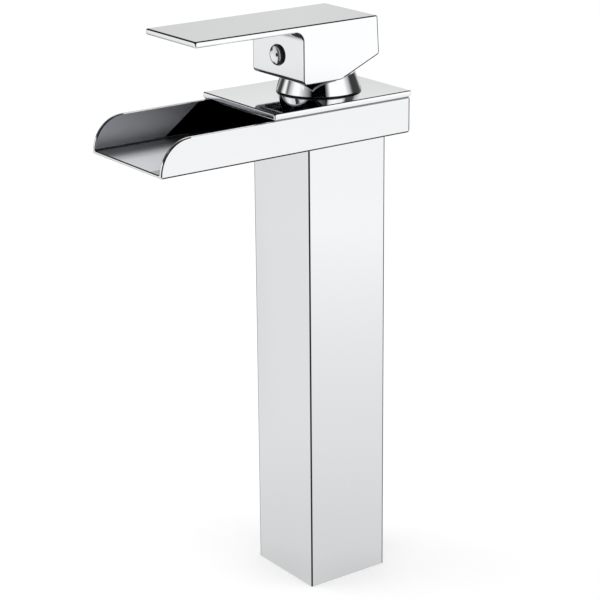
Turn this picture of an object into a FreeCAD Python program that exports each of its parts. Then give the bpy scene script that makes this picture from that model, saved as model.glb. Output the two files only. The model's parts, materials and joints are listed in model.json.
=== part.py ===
import FreeCAD, Part
import math
import os
from types import SimpleNamespace

import Sketcher

# Tall single-lever waterfall basin faucet, in millimetres.
# Z = 0 is the deck, the column stands on it centred on X = Y = 0, and the spout points to -Y.

os.makedirs("parts", exist_ok=True)
doc = FreeCAD.newDocument("WaterfallFaucet")

# ---------------------------------------------------------------- driving sizes

SIZES = [
    # column and foot
    ("column_side", 50.0, "outside width of the square column"),
    ("column_tall", 249.5, "height of the column, deck to channel"),
    ("column_wall", 2.5, "wall of the column tube"),
    ("column_corner", 1.2, "outside corner radius of the column"),
    ("foot_wall", 1.75, "column wall where the base block sits"),
    ("foot_bevel", 0.4, "bevel around the foot"),
    ("slip", 0.05, "slip fit, each side"),
    ("block_corner", 0.6, "corner radius of the base block"),
    ("inlet_r", 4.5, "M10x1 core radius"),
    ("inlet_deep", 12.0, "depth of the inlet threads"),
    ("inlet_neck", 2.0, "web between inlet thread and riser socket"),
    ("socket_deep", 10.0, "depth of a riser socket"),
    ("stud_hole_r", 3.4, "M8 core radius"),
    ("stud_hole_deep", 14.0, "depth of the stud thread"),
    ("stud_back", 10.0, "stud behind the column axis"),
    ("riser_x", 8.0, "riser tubes left and right of the axis"),
    ("riser_front", 5.0, "riser tubes in front of the axis"),
    ("riser_r", 4.0, "outside radius of a riser tube"),
    ("riser_wall", 1.0, "wall of a riser tube"),
    ("riser_bevel", 0.4, "bevel at the ends of a riser tube"),
    ("ring_deep", 1.5, "depth of the groove for a riser O-ring"),
    ("ring_tall", 1.8, "height of that groove"),
    ("ring_play", 0.03, "gap around a riser O-ring"),
    ("tie_inset_x", 9.7, "tie screws inside the base block's side"),
    ("tie_inset_y", 12.2, "tie screws inside the base block's back"),
    ("tie_r", 2.5, "tie screw thread radius"),
    ("tie_play", 0.25, "clearance hole around a tie screw"),
    ("tie_head_r", 4.2, "tie screw head radius"),
    ("tie_head_tall", 5.0, "tie screw head height"),
    ("tie_head_play", 0.4, "gap around a tie screw head"),
    ("tie_head_bevel", 0.5, "bevel of a tie screw head"),
    ("tie_seat", 7.5, "depth of the recess for a tie screw head"),
    ("tie_key_r", 2.3, "corner radius of the hexagon socket"),
    ("tie_run_out", 2.0, "thread hole beyond the end of a tie screw"),
    ("foot_seal_inset", 1.7, "foot seal inside the base block's side"),
    ("foot_seal_wide", 2.6, "width of the foot seal's section"),
    ("foot_seal_tall", 2.0, "height of the foot seal"),
    ("foot_seal_play", 0.1, "gap around the foot seal"),
    # channel, gasket and baffle
    ("spout_half", 32.5, "half width of the channel"),
    ("spout_tall", 18.6, "height of the channel's side walls"),
    ("spout_front", 118.5, "channel lip in front of the axis"),
    ("spout_back", 11.0, "channel back behind the column's face"),
    ("spout_wall", 2.1, "side wall of the channel"),
    ("spout_floor", 1.8, "floor of the channel"),
    ("nose_land", 1.0, "straight foot of the rounded side wall at the lip"),
    ("spout_corner", 2.0, "rounding of the channel's back corners"),
    ("spout_cove", 1.0, "fillet between floor and walls"),
    ("spout_hem", 0.5, "rounding of the channel's lower edges"),
    ("spout_rim", 0.5, "rounding of the wall tops"),
    ("gasket_thick", 0.8, "head gasket"),
    ("gasket_play", 0.1, "gap between gasket and valve body"),
    ("baffle_ahead", 5.5, "flow baffle in front of the valve body flange"),
    ("baffle_thick", 1.0, "sheet of the flow baffle"),
    ("baffle_foot", 4.0, "foot of the flow baffle"),
    ("baffle_play", 0.2, "flow baffle beside the floor fillets"),
    ("baffle_under", 0.6, "flow baffle below the plate's ribs"),
    ("baffle_bend", 0.8, "inside bend radius of the flow baffle"),
    ("baffle_hole_r", 1.4, "holes in the flow baffle"),
    ("baffle_margin", 2.8, "first hole from the baffle's end"),
    ("baffle_count", 13, "holes in a row"),
    # cover plate
    ("plate_front", 51.2, "cover plate in front of the axis"),
    ("plate_over", 0.3, "cover plate beyond the channel's back"),
    ("plate_thick", 3.2, "thickness of the cover plate"),
    ("plate_gap", 0.6, "shadow gap below the plate's edge"),
    ("plate_step", 0.9, "width of that gap"),
    ("plate_edge", 0.6, "edge rounding of the plate"),
    ("plate_corner", 1.0, "corner rounding of the plate"),
    ("plate_rib", 2.0, "height of the ribs that centre the plate"),
    ("rib_wide", 1.4, "width of those ribs"),
    ("rib_play", 0.3, "gap between a rib and the channel wall"),
    ("rib_inset", 6.0, "ribs stop short of the plate's ends"),
    ("plate_play", 0.3, "hole in the plate around the neck"),
    # valve body
    ("pivot_rise", 0.1, "cross pin above the plate's top"),
    ("chamber_deep", 28.0, "chamber floor below the cross pin"),
    ("chamber_play", 0.3, "chamber around the cartridge"),
    ("head_thick", 18.0, "solid part below the chamber"),
    ("head_lap", 3.0, "flange beyond the column's bore"),
    ("head_flange", 3.0, "thickness of the flange"),
    ("head_corner", 3.0, "corner rounding of the flange"),
    ("nut_step", 1.6, "nut thread outside the cartridge"),
    ("neck_wall", 2.4, "wall of the neck"),
    ("neck_rise", 4.5, "top of the neck above the cross pin"),
    ("neck_bevel", 0.6, "bevels at the neck's top"),
    ("shoulder_tall", 7.1, "shoulder below the cover plate"),
    ("outlet_half", 2.6, "half width of the outlet passage"),
    ("outlet_drop", 11.0, "outlet passage's floor below the chamber floor"),
    ("outlet_tall", 8.0, "height of the outlet passage"),
    ("weir_half", 12.0, "half width of the rising outlet slot"),
    ("weir_wall", 1.4, "wall in front of the rising slot"),
    ("weir_deep", 2.4, "depth of the rising slot, front to back"),
    ("port_x", 5.6, "inlet ports left and right of the axis"),
    ("port_front", 3.6, "inlet ports in front of the axis"),
    ("port_r", 2.0, "inlet port radius"),
    ("outlet_back", 6.2, "outlet port behind the axis"),
    ("outlet_r", 2.8, "outlet port radius"),
    ("key_x", 8.5, "locating pins left and right of the axis"),
    ("key_back", 5.0, "locating pins behind the axis"),
    ("key_r", 1.3, "locating pin radius"),
    ("key_long", 1.8, "locating pin length"),
    ("key_play", 0.1, "gap around a locating pin"),
    # bonnet and nut
    ("bonnet_wall", 4.4, "wall of the bonnet at the plate"),
    ("bonnet_land", 0.8, "straight band at the bonnet's foot"),
    ("bonnet_taper", 3.4, "how much narrower the bonnet's top is"),
    ("bonnet_tall", 10.1, "height of the bonnet"),
    ("bonnet_roof", 2.2, "thickness of the bonnet's top"),
    ("bonnet_mouth_r", 13.0, "opening in the bonnet's top"),
    ("bonnet_step", 1.5, "shoulder above the bonnet's thread"),
    ("bonnet_relief", 0.5, "thread run-out in the bonnet"),
    ("bonnet_edge", 0.6, "edge rounding of the bonnet's top"),
    ("bonnet_foot", 0.5, "edge rounding of the bonnet's foot"),
    ("seal_r", 0.6, "section radius of the bonnet O-ring"),
    ("seal_play", 0.1, "gap around the bonnet O-ring"),
    ("nut_tall", 6.8, "height of the cartridge nut"),
    ("nut_play", 0.1, "nut inside its thread"),
    ("nut_ease", 0.3, "nut around the cartridge neck"),
    ("nut_lead", 0.5, "bevel at the nut's foot"),
    ("nut_slot", 4.0, "width of the nut's key slots"),
    ("nut_slot_deep", 2.5, "depth of the key slots"),
    ("nut_bed", 0.4, "chamber step below the shell's shoulder"),
    # cartridge
    ("cartridge_r", 14.0, "cartridge radius"),
    ("shell_wall", 1.6, "wall of the cartridge shell"),
    ("seal_lift", 0.3, "seals keep the cartridge off the chamber floor"),
    ("base_flange", 1.7, "flange of the cartridge base"),
    ("base_plug", 5.0, "height of the cartridge base"),
    ("port_seal", 1.4, "width of a port seal's section"),
    ("port_seal_deep", 1.5, "depth of a port seal's pocket"),
    ("shoulder_drop", 3.4, "shell's shoulder below the cross pin"),
    ("shell_ledge", 1.8, "thickness of that shoulder"),
    ("shell_neck_wall", 2.15, "wall of the cartridge neck"),
    ("shell_neck_rise", 4.2, "top of the cartridge neck above the cross pin"),
    ("turret_r", 9.3, "radius of the turret"),
    ("turret_rise", 6.5, "turret's top above the cross pin"),
    ("turret_drop", 9.0, "turret's underside below the cross pin"),
    ("turret_bevel", 0.6, "bevel at the turret's top"),
    ("turret_play", 0.2, "end play of the turret"),
    ("run_gap", 0.05, "running fit, each side"),
    ("move_gap", 0.35, "free gap between moving pieces"),
    ("flange_gap", 0.3, "turret flange inside the shell"),
    ("stop_half", 1.6, "half width of the swivel stop"),
    ("stop_long", 1.6, "how far the swivel stop stands in"),
    ("stop_play", 0.25, "turret notch inside the stop"),
    ("swivel", 45.0, "swivel to each side, degrees"),
    ("swivel_spare", 0.6, "notch beyond the swivel, degrees"),
    ("disc_play", 0.2, "fixed disc inside the shell"),
    ("disc_thick", 3.5, "fixed disc thickness"),
    ("lug_inset", 0.9, "lug centres inside the fixed disc's rim"),
    ("lug_r", 1.0, "lugs that hold the fixed disc"),
    ("lug_tall", 2.5, "height of those lugs"),
    ("lug_play", 0.15, "gap around a lug"),
    ("film", 0.03, "gap between the discs"),
    ("slider_play", 0.25, "moving disc inside the shell at full slide"),
    ("slider_thick", 3.0, "moving disc thickness"),
    ("mix_half", 6.2, "half width of the mixing pocket"),
    ("mix_tail", 3.0, "half width of its tail over the outlet"),
    ("mix_step", 4.0, "where the tail starts, behind the axis"),
    ("mix_deep", 1.6, "depth of the mixing pocket"),
    ("mix_rim", 1.6, "rim behind the tail"),
    ("mix_lap", 0.4, "lap over the inlet ports when shut"),
    ("carrier_step", 0.2, "carrier smaller than the moving disc"),
    ("drive_x", 7.9, "driving pins left and right of the axis"),
    ("drive_r", 1.4, "driving pin radius"),
    ("drive_long", 0.9, "driving pin length"),
    ("drive_play", 0.1, "gap around a driving pin"),
    ("guide_half", 6.0, "half width over the guide ribs"),
    ("guide_play", 0.3, "gap beside the guide ribs"),
    ("guide_tall", 2.0, "height of the guide ribs"),
    ("guide_front", 7.5, "guide ribs in front of the carrier's centre"),
    ("guide_rear", 6.5, "guide ribs behind the carrier's centre"),
    ("guide_inset", 0.2, "ribs stand back from the ball pocket"),
    # spindle
    ("pin_r", 1.48, "cross pin radius"),
    ("pin_play", 0.02, "cross pin in the turret"),
    ("pin_short", 0.3, "cross pin ends inside the turret's skin"),
    ("pin_bevel", 0.3, "bevel of the cross pin's ends"),
    ("ball_drop", 10.0, "spindle ball below the cross pin"),
    ("ball_r", 2.6, "spindle ball radius"),
    ("lift", 23.0, "lift of the lever, degrees"),
    ("spindle_side", 7.0, "width of the square spindle"),
    ("spindle_drop", 5.5, "square part's lower end below the cross pin"),
    ("spindle_neck_r", 2.0, "spindle neck radius"),
    ("spindle_cone", 1.0, "cone between neck and square"),
    ("spindle_bevel", 0.6, "bevel of the spindle's top"),
    ("spindle_grip", 9.0, "spindle inside the lever's boss"),
    # lever
    ("lever_play", 1.3, "bonnet's top inside the block"),
    ("lever_front", 91.0, "blade tip in front of the axis"),
    ("blade_thick", 3.2, "blade thickness"),
    ("block_tall", 30.7, "height of the block"),
    ("block_front", 26.0, "front face of the block"),
    ("block_rear", 21.5, "rear face of the block at the top"),
    ("block_lean", 1.2, "how far the rear face leans out"),
    ("block_rise", 9.0, "block's underside above the cross pin"),
    ("block_wall", 2.5, "wall of the block"),
    ("block_roof", 4.7, "roof of the block"),
    ("blade_root_r", 5.0, "fillet between blade and block"),
    ("block_toe_r", 2.5, "rounding of the block's lower front edge"),
    ("heel_r", 8.0, "rounding where the bevel starts"),
    ("blade_corner", 1.2, "corner rounding of the blade's tip"),
    ("lever_edge", 0.6, "edge rounding of the lever"),
    ("cavity_corner", 1.0, "inside corner radius of the block"),
    ("boss_rise", 16.0, "boss's underside above the cross pin"),
    ("boss_half", 7.0, "half width of the spindle boss"),
    ("socket_spare", 0.5, "socket beyond the spindle's top"),
    ("screw_rise", 5.5, "set screw above the boss's underside"),
    ("screw_r", 2.5, "set screw thread radius"),
    ("screw_long", 12.0, "set screw length"),
    ("screw_lead", 1.0, "cone at the set screw's point"),
    ("screw_key_r", 1.44, "corner radius of its hexagon socket"),
    ("screw_key_deep", 3.0, "depth of that socket"),
    ("plug_r", 5.25, "plug head radius"),
    ("plug_ring", 0.45, "dark ring around the plug head"),
    ("plug_recess", 0.4, "depth of the recess for the plug head"),
    ("plug_dome", 1.5, "how far the plug stands out"),
    ("plug_stem_r", 4.2, "plug stem radius"),
    ("plug_stem", 3.2, "plug stem length"),
    ("plug_lead", 0.4, "lead-in of the stem and of its hole"),
    ("dimple_r", 0.9, "dimple in the plug"),
    ("dimple_deep", 0.5, "depth of that dimple"),
]

sheet = doc.addObject("Spreadsheet::Sheet", "Sizes")
for row, (name, value, note) in enumerate(SIZES, start=1):
    sheet.set("A%d" % row, str(value))
    sheet.setAlias("A%d" % row, name)
    sheet.set("B%d" % row, note)
doc.recompute()


class Dim:
    """A size: the expression that drives it and the value it has now."""

    def __init__(self, text, value):
        self.text, self.value = text, value

    def join(self, sign, other, value):
        return Dim("(%s %s %s)" % (self.text, sign, other.text), value)

    def __add__(self, other):
        other = dim(other)
        return self.join("+", other, self.value + other.value)

    def __sub__(self, other):
        other = dim(other)
        return self.join("-", other, self.value - other.value)

    def __mul__(self, other):
        other = dim(other)
        return self.join("*", other, self.value * other.value)

    def __truediv__(self, other):
        other = dim(other)
        return self.join("/", other, self.value / other.value)

    def __neg__(self):
        return Dim("(-1 * %s)" % self.text, -self.value)


def dim(value):
    return value if isinstance(value, Dim) else Dim("%.9g" % value, float(value))


def sine(angle):
    return Dim("sin(%s)" % angle.text, math.sin(math.radians(angle.value)))


def cosine(angle):
    return Dim("cos(%s)" % angle.text, math.cos(math.radians(angle.value)))


def tangent(angle):
    return Dim("tan(%s)" % angle.text, math.tan(math.radians(angle.value)))


def arc_sine(ratio):
    """Angle in plain degrees."""
    return Dim("(asin(%s) / 1deg)" % ratio.text, math.degrees(math.asin(ratio.value)))


d = SimpleNamespace(**{name: Dim("Sizes.%s" % name, float(sheet.get(name))) for name, _, _ in SIZES})

# ---------------------------------------------------------------- modelling helpers


def new_body(label):
    body = doc.addObject("PartDesign::Body", label)
    body.Label = label
    return body


def new_sketch(body, plane, offset=0):
    """Sketch on one of the body's own origin planes, moved along the plane's normal."""
    sketch = body.newObject("Sketcher::SketchObject", "Sketch")
    support = [item for item in body.Origin.OriginFeatures if item.Role == plane + "_Plane"][0]
    sketch.AttachmentSupport = [(support, "")]
    sketch.MapMode = "FlatFace"
    sketch.setExpression("AttachmentOffset.Base.z", dim(offset).text)
    return sketch


def drive(sketch, kind, target, size):
    size = dim(size)
    index = sketch.addConstraint(Sketcher.Constraint(kind, *target, size.value))
    sketch.setExpression("Constraints[%d]" % index, size.text)


def polygon(sketch, points):
    """Closed outline whose corners are all held by sizes."""
    points = [(dim(across), dim(along)) for across, along in points]
    corners = [FreeCAD.Vector(across.value, along.value, 0) for across, along in points]
    first = sketch.GeometryCount
    for index, corner in enumerate(corners):
        sketch.addGeometry(Part.LineSegment(corner, corners[(index + 1) % len(corners)]))
    for index, (across, along) in enumerate(points):
        following = first + (index + 1) % len(points)
        sketch.addConstraint(Sketcher.Constraint("Coincident", first + index, 2, following, 1))
        drive(sketch, "DistanceX", (first + index, 1), across)
        drive(sketch, "DistanceY", (first + index, 1), along)


def rectangle(sketch, x_low, x_high, y_low, y_high):
    polygon(sketch, [(x_low, y_low), (x_high, y_low), (x_high, y_high), (x_low, y_high)])


def square(sketch, side):
    half = dim(side) / 2
    rectangle(sketch, -half, half, -half, half)


def circle(sketch, across, along, radius):
    across, along, radius = dim(across), dim(along), dim(radius)
    centre = FreeCAD.Vector(across.value, along.value, 0)
    index = sketch.addGeometry(Part.Circle(centre, FreeCAD.Vector(0, 0, 1), radius.value))
    drive(sketch, "DistanceX", (index, 3), across)
    drive(sketch, "DistanceY", (index, 3), along)
    drive(sketch, "Radius", (index,), radius)


def twin_circles(sketch, across, along, radius):
    circle(sketch, across, along, radius)
    circle(sketch, -dim(across), along, radius)


def feature(body, kind, sketch, length=None, both=False, reverse=False):
    """Pad, pocket, revolution or groove; a cut that removes nothing is an error."""
    before = body.Shape.Volume if body.Shape and not body.Shape.isNull() else 0.0
    made = body.newObject("PartDesign::" + kind, kind)
    made.Profile = sketch
    if kind in ("Revolution", "Groove"):
        made.ReferenceAxis = (sketch, ["V_Axis"])
        made.Angle = 360.0
    else:
        made.setExpression("Length", dim(length).text)
        made.SideType = "Symmetric" if both else "One side"
        made.Reversed = reverse
    sketch.Visibility = False
    doc.recompute()
    change = body.Shape.Volume - before
    if (kind in ("Pocket", "Groove")) != (change < -1e-3):
        raise RuntimeError("%s of %s changes the volume by %.3f" % (kind, body.Label, change))
    return made


def pad(body, sketch, length, **how):
    return feature(body, "Pad", sketch, length, **how)


def pocket(body, sketch, length, **how):
    return feature(body, "Pocket", sketch, length, **how)


def revolve(body, sketch, kind="Revolution"):
    return feature(body, kind, sketch)


def near(first, second, within=0.02):
    return abs(first - dim(second).value) < within


def curve_of(edge, kind):
    """The edge's curve when it is of the named kind, otherwise None."""
    try:
        return edge.Curve if edge.Curve.TypeId == "Part::Geom" + kind else None
    except TypeError:
        return None


def along(edge, axis):
    """True for a straight edge along the named axis."""
    line = curve_of(edge, "Line")
    return line is not None and abs(getattr(line.Direction, axis.lower())) > 0.9999


def circular(edge, radius=None):
    """True for a circular edge, of the given radius if there is one."""
    found = curve_of(edge, "Circle")
    return found is not None and (radius is None or near(found.Radius, radius))


def round_edges(body, radius, choose, kind="Fillet"):
    """Fillet or chamfer the edges that the rule picks from the body as it is."""
    edges = body.Shape.Edges
    names = ["Edge%d" % (index + 1) for index, edge in enumerate(edges) if choose(edge, edge.CenterOfMass)]
    if not names:
        raise RuntimeError("no edges to round on " + body.Label)
    made = body.newObject("PartDesign::" + kind, kind)
    made.Base = (body.Tip if body.Tip != made else made.BaseFeature, names)
    made.setExpression("Radius" if kind == "Fillet" else "Size", dim(radius).text)
    doc.recompute()
    if made.Shape.isNull() or not made.isValid():
        raise RuntimeError("%s failed on %s" % (kind, body.Label))
    return made


def torus(label, across, along_y, height, ring_r, section_r):
    ring = doc.addObject("Part::Torus", label)
    ring.setExpression("Radius1", ring_r.text)
    ring.setExpression("Radius2", section_r.text)
    ring.setExpression("Placement.Base.x", dim(across).text)
    ring.setExpression("Placement.Base.y", dim(along_y).text)
    ring.setExpression("Placement.Base.z", dim(height).text)
    return ring


def group(label, members):
    compound = doc.addObject("Part::Compound", label)
    compound.Label = label
    compound.Links = members
    return compound


# ---------------------------------------------------------------- shared derived sizes

column_bore = d.column_side - d.column_wall * 2
foot_bore = d.column_side - d.foot_wall * 2
base_side = foot_bore - d.slip * 2
base_tall = d.inlet_deep + d.inlet_neck + d.socket_deep
tie_x = base_side / 2 - d.tie_inset_x
tie_back = base_side / 2 - d.tie_inset_y
ring_groove_r = d.riser_r + d.ring_deep
foot_seal_side = base_side - d.foot_seal_inset * 2

spout_top = d.column_tall + d.spout_tall
spout_rear = d.column_side / 2 + d.spout_back
channel_floor = d.column_tall + d.spout_floor
channel_half = d.spout_half - d.spout_wall
plate_low = spout_top + d.plate_gap
plate_top = plate_low + d.plate_thick
pivot = plate_top + d.pivot_rise

cartridge_bore = d.cartridge_r - d.shell_wall
chamber_floor = pivot - d.chamber_deep
head_low = chamber_floor - d.head_thick
nut_thread_r = d.cartridge_r + d.nut_step
neck_r = nut_thread_r + d.neck_wall
bonnet_r = neck_r + d.bonnet_wall
neck_top = pivot + d.neck_rise
gasket_top = channel_floor + d.gasket_thick
flange_top = gasket_top + d.head_flange
flange_side = column_bore + d.head_lap * 2
body_side = column_bore - d.slip * 4
riser_low = d.inlet_deep + d.inlet_neck
riser_high = head_low + d.socket_deep

turret_low = pivot - d.turret_drop
shell_shoulder = pivot - d.shoulder_drop
ledge_low = shell_shoulder - d.shell_ledge
shell_neck_r = d.turret_r + d.run_gap + d.shell_neck_wall
stop_r = cartridge_bore - d.stop_long
cartridge_low = chamber_floor + d.seal_lift
flange_bed = cartridge_low + d.base_flange
disc_low = cartridge_low + d.base_plug
disc_r = cartridge_bore - d.disc_play
slider_low = disc_low + d.disc_thick + d.film
carrier_low = slider_low + d.slider_thick
carrier_top = turret_low - d.turret_play
slide_travel = d.ball_drop * sine(d.lift)
slide_rest = slide_travel / 2
slider_r = cartridge_bore - slide_rest - d.slider_play
ball_z = pivot - d.ball_drop

cavity_half = bonnet_r - d.bonnet_taper + d.lever_play
lever_half = cavity_half + d.block_wall
block_low = pivot + d.block_rise
lever_top = block_low + d.block_tall
cavity_top = lever_top - d.block_roof
boss_low = pivot + d.boss_rise
spindle_top = boss_low + d.spindle_grip
screw_z = boss_low + d.screw_rise
nodes = []


def hexagon(sketch, across, along_y, corner_r):
    turns = [math.radians(60 * step) for step in range(6)]
    polygon(sketch, [(dim(across) + corner_r * math.cos(turn), dim(along_y) + corner_r * math.sin(turn))
                     for turn in turns])


# ---------------------------------------------------------------- column and foot

column = new_body("column_shell")
sketch = new_sketch(column, "XY")
square(sketch, d.column_side)
pad(column, sketch, d.column_tall)
round_edges(column, d.column_corner, lambda edge, at: along(edge, "Z"))
sketch = new_sketch(column, "XY", d.column_tall)
square(sketch, column_bore)
pocket(column, sketch, d.column_tall)
sketch = new_sketch(column, "XY")
square(sketch, foot_bore)
pocket(column, sketch, base_tall, reverse=True)
round_edges(column, d.foot_bevel, lambda edge, at: near(at.z, 0) and
            max(abs(at.x), abs(at.y)) > (foot_bore / 2 + d.foot_wall / 2).value, kind="Chamfer")
nodes.append(column)

base = new_body("base_block")
sketch = new_sketch(base, "XY")
square(sketch, base_side)
pad(base, sketch, base_tall)
round_edges(base, d.block_corner, lambda edge, at: along(edge, "Z"))
for depth, radius in ((base_tall, d.riser_r - d.riser_wall), (d.socket_deep, d.riser_r + d.slip)):
    sketch = new_sketch(base, "XY", base_tall)
    twin_circles(sketch, d.riser_x, -d.riser_front, radius)
    pocket(base, sketch, depth)
sketch = new_sketch(base, "XY")
twin_circles(sketch, d.riser_x, -d.riser_front, d.inlet_r)
pocket(base, sketch, d.inlet_deep, reverse=True)
sketch = new_sketch(base, "XY", riser_low + d.socket_deep / 2)
twin_circles(sketch, d.riser_x, -d.riser_front, ring_groove_r)
pocket(base, sketch, d.ring_tall)
sketch = new_sketch(base, "XY")
circle(sketch, 0, d.stud_back, d.stud_hole_r)
pocket(base, sketch, d.stud_hole_deep, reverse=True)
sketch = new_sketch(base, "XY", base_tall)
twin_circles(sketch, tie_x, tie_back, d.tie_r + d.tie_play)
pocket(base, sketch, base_tall)
sketch = new_sketch(base, "XY")
twin_circles(sketch, tie_x, tie_back, d.tie_head_r + d.tie_head_play)
pocket(base, sketch, d.tie_seat, reverse=True)
sketch = new_sketch(base, "XY")
square(sketch, foot_seal_side + d.foot_seal_play * 2)
square(sketch, foot_seal_side - d.foot_seal_wide * 2 - d.foot_seal_play * 2)
pocket(base, sketch, d.foot_seal_tall + d.foot_seal_play, reverse=True)
nodes.append(base)

foot_seal = new_body("base_seal")
sketch = new_sketch(foot_seal, "XY")
square(sketch, foot_seal_side)
square(sketch, foot_seal_side - d.foot_seal_wide * 2)
pad(foot_seal, sketch, d.foot_seal_tall)
nodes.append(foot_seal)

for label, side in (("hot_riser_tube", -1), ("cold_riser_tube", 1)):
    riser = new_body(label)
    sketch = new_sketch(riser, "XY", riser_low + d.slip)
    circle(sketch, d.riser_x * side, -d.riser_front, d.riser_r)
    circle(sketch, d.riser_x * side, -d.riser_front, d.riser_r - d.riser_wall)
    pad(riser, sketch, riser_high - riser_low - d.slip * 2)
    round_edges(riser, d.riser_bevel, lambda edge, at: circular(edge, d.riser_r), kind="Chamfer")
    nodes.append(riser)

rings = []
for side in (-1, 1):
    for groove_top in (riser_low + d.socket_deep / 2, head_low + d.socket_deep / 2):
        rings.append(torus("riser_ring", d.riser_x * side, -d.riser_front, groove_top - d.ring_tall / 2,
                           d.riser_r + d.ring_deep / 2, d.ring_deep / 2 - d.ring_play))
nodes.append(group("riser_o_rings", rings))

tie = new_body("tie_screw")
head_foot = d.tie_seat - d.tie_head_tall
sketch = new_sketch(tie, "XY", head_foot)
circle(sketch, tie_x, tie_back, d.tie_head_r)
pad(tie, sketch, d.tie_head_tall)
sketch = new_sketch(tie, "XY", d.tie_seat)
circle(sketch, tie_x, tie_back, d.tie_r - d.slip)
pad(tie, sketch, riser_high - d.tie_seat)
sketch = new_sketch(tie, "XY", head_foot)
hexagon(sketch, tie_x, tie_back, d.tie_key_r)
pocket(tie, sketch, d.tie_head_tall / 2, reverse=True)
round_edges(tie, d.tie_head_bevel, lambda edge, at: near(at.z, head_foot) and circular(edge), kind="Chamfer")
tie_twin = doc.addObject("Part::Mirroring", "tie_screw_twin")
tie_twin.Source = tie
tie_twin.Normal = FreeCAD.Vector(1, 0, 0)
nodes.append(group("tie_screws", [tie, tie_twin]))

# ---------------------------------------------------------------- channel, gasket and baffle

trough = new_body("spout_trough")
sketch = new_sketch(trough, "XY", d.column_tall)
rectangle(sketch, -d.spout_half, d.spout_half, -d.spout_front, spout_rear)
pad(trough, sketch, d.spout_tall)
round_edges(trough, d.spout_tall - d.nose_land,
            lambda edge, at: along(edge, "X") and near(at.z, spout_top) and at.y < 0)
round_edges(trough, d.spout_corner, lambda edge, at: along(edge, "Z") and near(at.y, spout_rear))
sketch = new_sketch(trough, "XY", spout_top)
rectangle(sketch, -channel_half, channel_half, -(d.spout_front + d.spout_wall), spout_rear - d.spout_wall)
pocket(trough, sketch, d.spout_tall - d.spout_floor)
round_edges(trough, d.spout_cove, lambda edge, at: along(edge, "Y") and near(at.z, channel_floor))
sketch = new_sketch(trough, "XY", channel_floor)
square(sketch, column_bore)
pocket(trough, sketch, d.spout_floor)
round_edges(trough, d.spout_hem, lambda edge, at: along(edge, "Y") and near(at.z, d.column_tall) and
            near(abs(at.x), d.spout_half))
round_edges(trough, d.spout_rim, lambda edge, at: along(edge, "Y") and near(at.z, spout_top) and
            near(abs(at.x), d.spout_half))
nodes.append(trough)

gasket = new_body("head_gasket")
sketch = new_sketch(gasket, "XY", channel_floor)
square(sketch, flange_side)
square(sketch, column_bore + d.gasket_play * 2)
pad(gasket, sketch, d.gasket_thick)
nodes.append(gasket)

baffle = new_body("flow_baffle")
baffle_half = channel_half - d.spout_cove - d.baffle_play
baffle_front = flange_side / 2 + d.baffle_ahead
baffle_back = baffle_front - d.baffle_thick
baffle_tall = d.spout_tall - d.spout_floor - d.plate_rib - d.baffle_under
foot_top = channel_floor + d.baffle_thick
sketch = new_sketch(baffle, "YZ")
polygon(sketch, [(-baffle_front, channel_floor), (d.baffle_foot - baffle_back, channel_floor),
                 (d.baffle_foot - baffle_back, foot_top), (-baffle_back, foot_top),
                 (-baffle_back, channel_floor + baffle_tall), (-baffle_front, channel_floor + baffle_tall)])
pad(baffle, sketch, baffle_half * 2, both=True)
for radius, back, height in ((d.baffle_bend, baffle_back, foot_top),
                             (d.baffle_bend + d.baffle_thick, baffle_front, channel_floor)):
    round_edges(baffle, radius, lambda edge, at: along(edge, "X") and near(at.y, -back) and near(at.z, height))
first_hole = baffle_half - d.baffle_margin
for part_up in (1 / 3, 2 / 3):
    sketch = new_sketch(baffle, "XZ", baffle_front)
    circle(sketch, -first_hole, channel_floor + baffle_tall * part_up, d.baffle_hole_r)
    hole = pocket(baffle, sketch, d.baffle_thick)
    row = baffle.newObject("PartDesign::LinearPattern", "HoleRow")
    row.Originals = [hole]
    row.Direction = (sketch, ["H_Axis"])
    row.setExpression("Length", (first_hole * 2).text)
    row.setExpression("Occurrences", d.baffle_count.text)
    baffle.Tip = row
    doc.recompute()
nodes.append(baffle)

# ---------------------------------------------------------------- cover plate

plate = new_body("cover_plate")
sketch = new_sketch(plate, "XY", plate_low)
rectangle(sketch, -d.spout_half, d.spout_half, -d.plate_front, spout_rear + d.plate_over)
pad(plate, sketch, d.plate_thick)
round_edges(plate, d.plate_corner, lambda edge, at: along(edge, "Z"))
round_edges(plate, d.plate_edge, lambda edge, at: near(at.z, plate_top) or near(at.z, plate_low))
sketch = new_sketch(plate, "XY", spout_top)
rectangle(sketch, d.plate_step - d.spout_half, d.spout_half - d.plate_step,
          d.plate_step - d.plate_front, spout_rear - d.plate_step)
pad(plate, sketch, d.plate_gap)
rib_out = channel_half - d.rib_play
rib_in = rib_out - d.rib_wide
for low, high in ((-rib_out, -rib_in), (rib_in, rib_out)):
    sketch = new_sketch(plate, "XY", spout_top - d.plate_rib)
    rectangle(sketch, low, high, d.rib_inset - d.plate_front, spout_rear - d.rib_inset)
    pad(plate, sketch, d.plate_rib)
sketch = new_sketch(plate, "XY", plate_top)
circle(sketch, 0, 0, neck_r + d.plate_play)
pocket(plate, sketch, d.plate_thick + d.plate_gap)
nodes.append(plate)

# ---------------------------------------------------------------- valve body

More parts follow.
